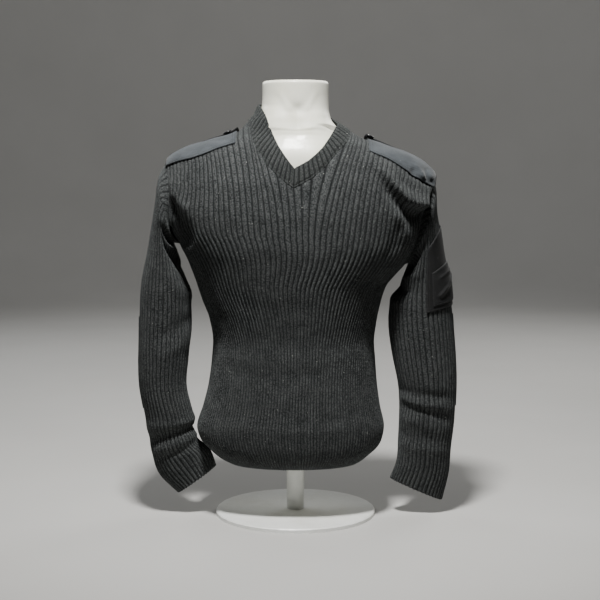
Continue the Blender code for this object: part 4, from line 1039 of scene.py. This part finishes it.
def clothPlate(name, points, normals, lift, thick, cloth, nodeName, bulge, creases=()):
    # a woven piece with turned edges, from a grid of surface points
    rows, columns = points.shape[:2]
    a, b = np.linspace(0, 1, rows)[:, None], np.linspace(0, 1, columns)[None, :]
    crown = bulge * (np.sin(np.pi * a) * np.sin(np.pi * b)) ** 0.5
    for depth, width, a0, b0, a1, b1 in creases:
        away, _ = nearLine(*np.broadcast_arrays(a, b), ((a0, b0), (a1, b1)))
        crown = crown + depth * bell(away, width)
    top = points + normals * (lift + thick + crown + 0.0003 * wobble(a * 3, b * 3, len(name)))[..., None]
    bottom = points + normals * lift
    down, wide = sizeOf(points)
    uv = np.stack(np.broadcast_arrays(b * wide, a * down), axis=-1)
    ring = [(0, k) for k in range(columns)] + [(r, columns - 1) for r in range(1, rows)]
    ring += [(rows - 1, k) for k in range(columns - 2, -1, -1)] + [(r, 0) for r in range(rows - 2, -1, -1)]
    at = tuple(np.array(ring).T)
    flip = (gridNormals(top) * normals).sum() < 0
    turned = gridMesh(np.array([bottom[at], top[at]]), np.array([uv[at] + 0.001, uv[at]]), flip)
    material, slotName = cloth
    return makePiece(name, [gridMesh(top, uv, flip), turned], material, nodeName), top


def shoulderGrid(hand, across, rows, columns, xEnd):
    # surface over the shoulder: across runs from the front edge (-1) over the seam (0) to the back edge (1)
    name = "right" if hand < 0 else "left"
    armhole = body[name + "Armhole"]
    tip = armholeAt(-1, armhole, 1.0)[0]
    along = np.linspace(0, 1, columns)
    xRidge = tip + (xEnd - tip) * along
    zRidge = ridgeHeight(xRidge)
    zEdge = smoothCurve(patch[name + "Edge"], 1, np.clip(xRidge, min(xEnd, tip), max(xEnd, tip)))
    rowsOut = []
    for value in np.linspace(across[0], across[1], rows):
        side = -1 if value <= 0 else 1
        drop = zRidge - zEdge + (patch["backDrop"] if side > 0 else 0)
        z = zRidge - drop * np.abs(value) ** 1.7
        arm = armholeAt(side, armhole, np.linspace(0.5, 1.0, 200))
        x = xRidge + (np.interp(z[0], arm[:, 2], arm[:, 0]) - tip) * (1 - along) ** 4
        x = np.clip(x, -halfWidth(-1, z) * 0.99999, halfWidth(1, z) * 0.99999)
        rowsOut.append(onBody(side, x, z))
    points = np.array(rowsOut)
    points = np.where(points[..., 1:2] <= 0, ontoBody(-1, points), ontoBody(1, points))
    return points, outwardNormals(points, (0.0, 0.0, 1.0))


def patchRelief(points):
    relief = np.where(points[..., 1] < 0, foldRelief(-1, points) + sagRelief(points), foldRelief(1, points))
    return relief * 0.9


def buildShoulder(name, hand):
    end = patch[name + "End"]
    points, normals = shoulderGrid(hand, (-1.0, 1.0), 72, 60, end)
    points = points + normals * patchRelief(points)[..., None]
    piece, top = clothPlate(name + "ShoulderPatch", points, normals, patch["lift"], patch["thick"], greyTwill,
                            name + "_shoulder_patch", 0.0006)
    points, normals = shoulderGrid(hand, strap["across"], 24, 60, end * strap["reach"])
    rise = strap["lift"] * np.linspace(0, 1, 60)[None, :] ** 2 + patchRelief(points)
    points = points + normals * rise[..., None]
    strapPiece, strapTop = clothPlate(name + "ShoulderStrap", points, normals, patch["onTop"], strap["thick"],
                                      darkTwill, name + "_shoulder_strap", 0.0004)
    return piece, top, strapPiece, strapTop


rightPatch, rightPatchTop, rightStrap, rightStrapTop = buildShoulder("right", -1)
leftPatch, leftPatchTop, leftStrap, leftStrapTop = buildShoulder("left", 1)


# rings and turns of the sleeve, and creases: depth, width, and both ends as shares down and round the plate
elbow = {
    "rings": (6.0, 8.7),
    "turns": (30 / 60, 52 / 60),
    "creases": (
        (0.0016, 0.060, 0.42, 0.10, 0.50, 0.80), (-0.0014, 0.050, 0.54, 0.15, 0.62, 0.90),
        (0.0012, 0.050, 0.68, 0.20, 0.64, 0.85), (-0.0010, 0.050, 0.30, 0.30, 0.26, 0.90)),
}
pocketBack = {"rings": (2.9, 5.7), "turns": (16 / 60, 38 / 60), "creases": ()}
pocket = {
    "rings": (4.2, 5.55),
    "turns": (18 / 60, 36 / 60),
    "creases": (
        (0.0022, 0.045, 0.78, 0.14, 0.40, 0.62), (0.0012, 0.035, 0.66, 0.30, 0.60, 0.85),
        (-0.0014, 0.050, 0.88, 0.20, 0.56, 0.66), (0.0012, 0.050, 0.30, 0.20, 0.24, 0.70)),
}


def sleevePatch(name, nodeName, sleeveGrid, spec, cloth, columns, bulge, lift=patch["lift"]):
    grid, normals, spots = sleeveGrid
    row = np.interp(np.linspace(*spec["rings"], 60), spots, np.arange(len(spots)))[:, None]
    column = (np.linspace(*spec["turns"], columns) * grid.shape[1])[None, :]
    points, facing = between(grid, row, column), unit(between(normals, row, column))
    return clothPlate(name, points, facing, lift, patch["thick"], cloth, nodeName, bulge, spec["creases"])


rightElbow, rightElbowTop = sleevePatch("rightElbowPatch", "right_elbow_patch", rightSleeveGrid, elbow,
                                        greyTwill, 44, 0.0008)
leftElbow, leftElbowTop = sleevePatch("leftElbowPatch", "left_elbow_patch", leftSleeveGrid, elbow,
                                      greyTwill, 44, 0.0008)
pocketBase, pocketBaseTop = sleevePatch("sleevePocketBase", "sleeve_pocket_base", leftSleeveGrid, pocketBack,
                                        darkTwill, 44, 0.0006)
penPocket, penPocketTop = sleevePatch("penPocket", "pen_pocket", leftSleeveGrid, pocket,
                                      darkTwill, 54, 0.0016, patch["onTop"])
print("patches made")


# Buttons

button = {
    "radius": 0.0085,
    "thick": 0.0028,
    # shares of the radius and of the thickness, from the back to the middle of the face
    "profile": (
        (0.0, 0.0), (0.86, 0.0), (0.97, 0.18), (1.0, 0.5), (0.96, 0.86), (0.88, 1.0), (0.76, 0.94), (0.66, 0.74),
        (0.40, 0.66), (0.0, 0.64)),
}


def buildButton(name, strapTop):
    low, high = (Vector(c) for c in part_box(name + "_strap_button"))
    near = np.argmin(np.linalg.norm(strapTop.reshape(-1, 3) - np.array((low + high) / 2), axis=1))
    facing = gridNormals(strapTop).reshape(-1, 3)[near]
    if facing[2] < 0:
        facing = -facing
    seat = strapTop.reshape(-1, 3)[near] + facing * 0.0003
    across = unit(np.cross(facing, (0.0, 1.0, 0.0)))
    turn = np.linspace(0, 2 * np.pi, 49)
    spokes = np.cos(turn)[:, None] * across + np.sin(turn)[:, None] * np.cross(facing, across)
    radius, thick = button["radius"], button["thick"]
    grid = np.array([seat + facing * h * thick + r * radius * spokes for r, h in button["profile"]])
    uv = np.stack(np.meshgrid(turn, np.arange(len(grid))), axis=-1) * 0.001
    return makePiece(name + "StrapButton", [gridMesh(grid, uv, True)], buttonMaterial, name + "_strap_button",
                     0.00002)


rightButton = buildButton("right", rightStrapTop)
leftButton = buildButton("left", leftStrapTop)


# The form: smooth, with the shape of a throat and collar bones above the V

form = {
    "columns": 200,
    "wall": 0.0022,
    "shoulder": 0.0100,
    "neckTop": 0.7790,
    "neckRound": 0.0055,
    "middle": 0.004,
    "chest": 0.0115,
    "hollow": 0.0026,
    "bones": 0.0009,
    # height, how far the form stays inside the cloth
    "clearance": (
        (0.08, 0.0045), (0.15, 0.0050), (0.30, 0.0040), (0.42, 0.0070), (0.50, 0.0100), (0.58, 0.0095),
        (0.65, 0.0085), (0.69, 0.0040), (0.72, 0.0032)),
}


def formRelief(x, z):
    across = np.abs(x - form["middle"])
    chestStart = 0.737 + 0.45 * np.clip(across, 0, 0.04) - 0.004 * bell(across, 0.010)
    chest = ease((chestStart - z) / 0.066) * ease((z - 0.610) / 0.05) * np.exp(-(across / 0.060) ** 4)
    hollow = bell(across, 0.012) * bell(z - 0.728, 0.010)
    bones = bell(z - 0.712 - across * 0.18, 0.010) * ease((across - 0.012) / 0.02) * ease((0.056 - across) / 0.02)
    cords = bell(across - (z - 0.715) * 0.55 - 0.008, 0.006) * ease((z - 0.722) / 0.01) * ease((0.768 - z) / 0.03)
    return form["chest"] * chest - form["hollow"] * hollow + form["bones"] * (bones + cords)


def buildForm():
    angle = 2 * np.pi * np.arange(form["columns"]) / form["columns"]
    rings = []
    for z in np.concatenate((np.linspace(0.0872, 0.66, 60), np.linspace(0.663, 0.770, 56))):
        power = 2 / float(squareness(z))
        x, y = signedPower(np.cos(angle), power), signedPower(np.sin(angle), power)
        depth = np.where(np.sin(angle) < 0, bodyDepth(-1, z), bodyDepth(1, z))
        rings.append(np.stack((x * halfWidth(x, z), y * depth, np.full(len(x), z)), axis=-1))
    points = np.array(rings)
    normals = outwardNormals(points, points * (1, 1, 0), closed=True)
    z = points[..., 2]
    onTop = np.clip((normals[..., 2] - 0.3) / 0.4, 0, 1) * (z > 0.5) * (z < 0.70)
    loose = smoothCurve(form["clearance"], 1, z)
    moved = points - normals * (form["wall"] + loose + (form["shoulder"] - loose) * onTop)[..., None]
    frontSide = np.clip(-moved[..., 1] / 0.05, 0, 1)
    moved = moved + normals * (formRelief(moved[..., 0], z) * frontSide)[..., None]

    # rounded edge and flat top of the neck, and a closed underside
    neck, middle = moved[-1], moved[-1].mean(axis=0)
    away = unit((neck - middle)[:, :2])
    radius = np.linalg.norm((neck - middle)[:, :2], axis=1, keepdims=True)
    caps = []
    for turn in np.radians(np.linspace(0, 90, 10)):
        ring = neck.copy()
        ring[:, :2] -= away * form["neckRound"] * (1 - math.cos(turn))
        ring[:, 2] = form["neckTop"] - form["neckRound"] * (1 - math.sin(turn))
        caps.append(ring)
    for share in (0.8, 0.5, 0.2, 0.0):
        ring = caps[9].copy()
        ring[:, :2] = middle[:2] + away * (radius - form["neckRound"]) * share
        caps.append(ring)
    bottoms = []
    for share in (0.0, 0.4, 0.8):
        ring = moved[0].copy()
        ring[:, :2] = ring[:, :2].mean(axis=0) + (ring[:, :2] - ring[:, :2].mean(axis=0)) * share
        bottoms.append(ring)
    grid = closeRing(np.concatenate((bottoms, moved, caps)))
    grids = [gridMesh(grid, np.zeros((*grid.shape[:2], 2)))]
    return makePiece("torsoForm", grids, formMaterial, "torso_form")


torsoForm = buildForm()
for nodeName in ("stand_post", "stand_base"):
    nodes[nodeName].data.materials.clear()
    nodes[nodeName].data.materials.append(steelMaterial)
print("form made")


# Stitches by geometry nodes: a line of points becomes a row of thread

sewing = {"Length": 0.0023, "Gap": 0.0031, "Width": 0.0008, "Thread": thread}


def stitchTree():
    tree, given, result = newGroup(
        "sewnStitches", "GeometryNodeTree",
        (("Geometry", "Geometry", None), ("Length", "Float", 0.0023), ("Gap", "Float", 0.0031),
         ("Width", "Float", 0.0008), ("Thread", "Material", None)), (("Geometry", "Geometry"),))
    curve = addNode(tree, "GeometryNodeMeshToCurve", {"Mesh": given["Geometry"]})
    points = addNode(tree, "GeometryNodeCurveToPoints", {"Curve": curve, "Length": given["Gap"]}, None, mode="LENGTH")
    stitch = addNode(tree, "GeometryNodeMeshIcoSphere", {"Radius": 0.5, "Subdivisions": 1})
    size = addNode(tree, "ShaderNodeCombineXYZ", {0: given["Width"], 1: given["Width"], 2: given["Length"]})
    turn = addNode(tree, "FunctionNodeAlignRotationToVector", {"Vector": points["Tangent"]}, axis="Z")
    placed = addNode(tree, "GeometryNodeInstanceOnPoints",
                     {"Points": points["Points"], "Instance": stitch, "Rotation": turn, "Scale": size})
    real = addNode(tree, "GeometryNodeRealizeInstances", {0: placed})
    threaded = addNode(tree, "GeometryNodeSetMaterial", {"Geometry": real, "Material": given["Thread"]})
    wire(tree, result["Geometry"], threaded)
    return tree


stitchNodes = stitchTree()


def insetRuns(top, inset, sides):
    # points and normals parallel to the edges of a plate's top, a set distance in
    rows, columns = top.shape[:2]
    facing = gridNormals(top)
    down, wide = sizeOf(top)
    r, c = inset / down * (rows - 1), inset / wide * (columns - 1)
    along, up = np.linspace(c, columns - 1 - c, columns), np.linspace(r, rows - 1 - r, rows)
    edges = {"t": (r + 0 * along, along), "b": (rows - 1 - r + 0 * along, along),
             "l": (up, c + 0 * up), "r": (up, columns - 1 - c + 0 * up)}
    for row, column in (edges[side] for side in edges if side in sides):
        nearest = np.minimum(row.astype(int), rows - 2), np.minimum(column.astype(int), columns - 2)
        yield between(top, row, column), facing[nearest]


def sewPlate(name, top, insets, sides, middle):
    # rows of thread just above the cloth, on the side away from the middle
    verts, edges = [], []
    for inset in insets:
        for points, facing in insetRuns(top, inset, sides):
            if (facing * (points - middle)).sum() < 0:
                facing = -facing
            start = len(verts)
            verts += [tuple(p) for p in points + facing * 0.00012]
            edges += [(start + i, start + i + 1) for i in range(len(points) - 1)]
    mesh = bpy.data.meshes.new(name + "Path")
    mesh.from_pydata(verts, edges, [])
    path = linkNew(name + "Path", mesh)
    modifier = path.modifiers.new("stitches", "NODES")
    modifier.node_group = stitchNodes
    for item in stitchNodes.interface.items_tree:
        if item.in_out == "INPUT" and item.name in sewing:
            modifier[item.identifier] = sewing[item.name]
    evaluated = path.evaluated_get(bpy.context.evaluated_depsgraph_get())
    piece = linkNew(name, bpy.data.meshes.new_from_object(evaluated))
    bpy.data.objects.remove(path)
    piece.data.shade_smooth()
    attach(piece, "root")
    return piece


formMiddle, rightArm, leftArm = np.array(((0.0, 0.0, 0.45), (-0.235, 0.0, 0.25), (0.230, 0.0, 0.25)))
stitchPieces = [sewPlate(*row) for row in (
    ("rightShoulderStitches", rightPatchTop, (0.0020, 0.0070), "rtb", formMiddle),
    ("leftShoulderStitches", leftPatchTop, (0.0020, 0.0070), "rtb", formMiddle),
    ("rightStrapStitches", rightStrapTop, (0.0030,), "rtb", formMiddle),
    ("leftStrapStitches", leftStrapTop, (0.0030,), "rtb", formMiddle),
    ("rightElbowStitches", rightElbowTop, (0.0020, 0.0065), "lrtb", rightArm),
    ("leftElbowStitches", leftElbowTop, (0.0020, 0.0065), "lrtb", leftArm),
    ("pocketBaseStitches", pocketBaseTop, (0.0020, 0.0060), "lrtb", leftArm),
    ("penPocketStitches", penPocketTop, (0.0020, 0.0050), "lrtb", leftArm))]
print("stitches sewn:", sum(len(p.data.polygons) for p in stitchPieces), "faces")


# Stage, light and camera

studio = {"floor": 3.6, "cove": 1.4, "wall": 5.0, "around": 72}


def buildStage():
    # a round studio: flat floor, a cove and a wall
    around = studio["around"]
    profile = [(1.5, 0.0), (studio["floor"], 0.0)]
    for a in np.radians(np.linspace(0, 90, 14)[1:]):
        profile.append((studio["floor"] + studio["cove"] * math.sin(a), studio["cove"] * (1 - math.cos(a))))
    profile.append((studio["wall"], studio["wall"]))
    turns = [2 * math.pi * k / around for k in range(around)]
    verts = [(0.0, 0.0, 0.0)] + [(r * math.cos(a), r * math.sin(a), h) for r, h in profile for a in turns]
    faces = [(0, 1 + k, 1 + (k + 1) % around) for k in range(around)]
    for a in range(1, 1 + around * (len(profile) - 1), around):
        b = a + around
        faces += [(a + k, b + k, b + (k + 1) % around, a + (k + 1) % around) for k in range(around)]
    mesh = bpy.data.meshes.new("floor")
    mesh.from_pydata(verts, [], faces)
    mesh.shade_smooth()
    made, tree, place = startMaterial("paleFloor")
    grain = noiseNode(tree, place, 3.0, 3.0, 0.5)
    colour = mixColour(tree, grain, (0.40, 0.395, 0.38), (0.45, 0.445, 0.43))
    finishMaterial(tree, {"Base Color": colour, "Roughness": 0.85})
    mesh.materials.append(made)
    linkNew("floor", mesh)


def placeAt(name, data, place, aim):
    made = linkNew(name, data)
    made.location = place
    made.rotation_euler = (Vector(aim) - Vector(place)).to_track_quat("-Z", "Y").to_euler()
    return made


def addLight(name, place, aim, size, power, colour, cone=None):
    light = bpy.data.lights.new(name, "SPOT" if cone else "AREA")
    light.energy, light.color = power, colour
    if cone:
        light.shadow_soft_size, light.spot_size, light.spot_blend = size, math.radians(cone), 1.0
    else:
        light.shape = "RECTANGLE"
        light.size, light.size_y = size
    placeAt(name, light, place, aim)


buildStage()
addLight("keyLight", (-0.08, -0.74, 1.98), (0.0, 0, 0.60), 0.13, 330, (1.0, 0.99, 0.97), cone=84)
addLight("leftFill", (-2.2, -1.6, 1.3), (0, 0, 0.3), (1.2, 1.2), 0.8, (0.95, 0.98, 1.0))
addLight("rightFill", (2.2, -1.6, 1.3), (0, 0, 0.3), (1.2, 1.2), 0.5, (1.0, 0.98, 0.95))
addLight("backdropLight", (0.2, 1.6, 2.6), (0, 4.6, 1.0), (2.4, 0.8), 40, (1.0, 1.0, 1.0))
addLight("backLeft", (1.5, 2.0, 1.9), (0.05, 0.05, 0.36), (1.3, 1.3), 30, (1.0, 0.99, 0.97))
addLight("backRight", (-1.7, 1.8, 1.7), (-0.05, 0.05, 0.36), (1.3, 1.3), 21, (0.97, 0.99, 1.0))
world = bpy.data.worlds.new("studio")
world.use_nodes = True
background = world.node_tree.nodes["Background"]
background.inputs[0].default_value = (0.62, 0.62, 0.60, 1.0)
background.inputs[1].default_value = 0.012
bpy.context.scene.world = world

view = {"eye": (0.0, -2.4, 0.64), "aim": (0.0, 0.0, 0.39), "fieldOfView": 25.229, "shift": 0.0075}
cameraData = bpy.data.cameras.new("camera")
cameraData.sensor_width = 36.0
cameraData.lens = 18.0 / math.tan(math.radians(view["fieldOfView"] / 2))
cameraData.shift_x = view["shift"]
bpy.context.scene.camera = placeAt("camera", cameraData, view["eye"], view["aim"])
print("stage and camera ready")
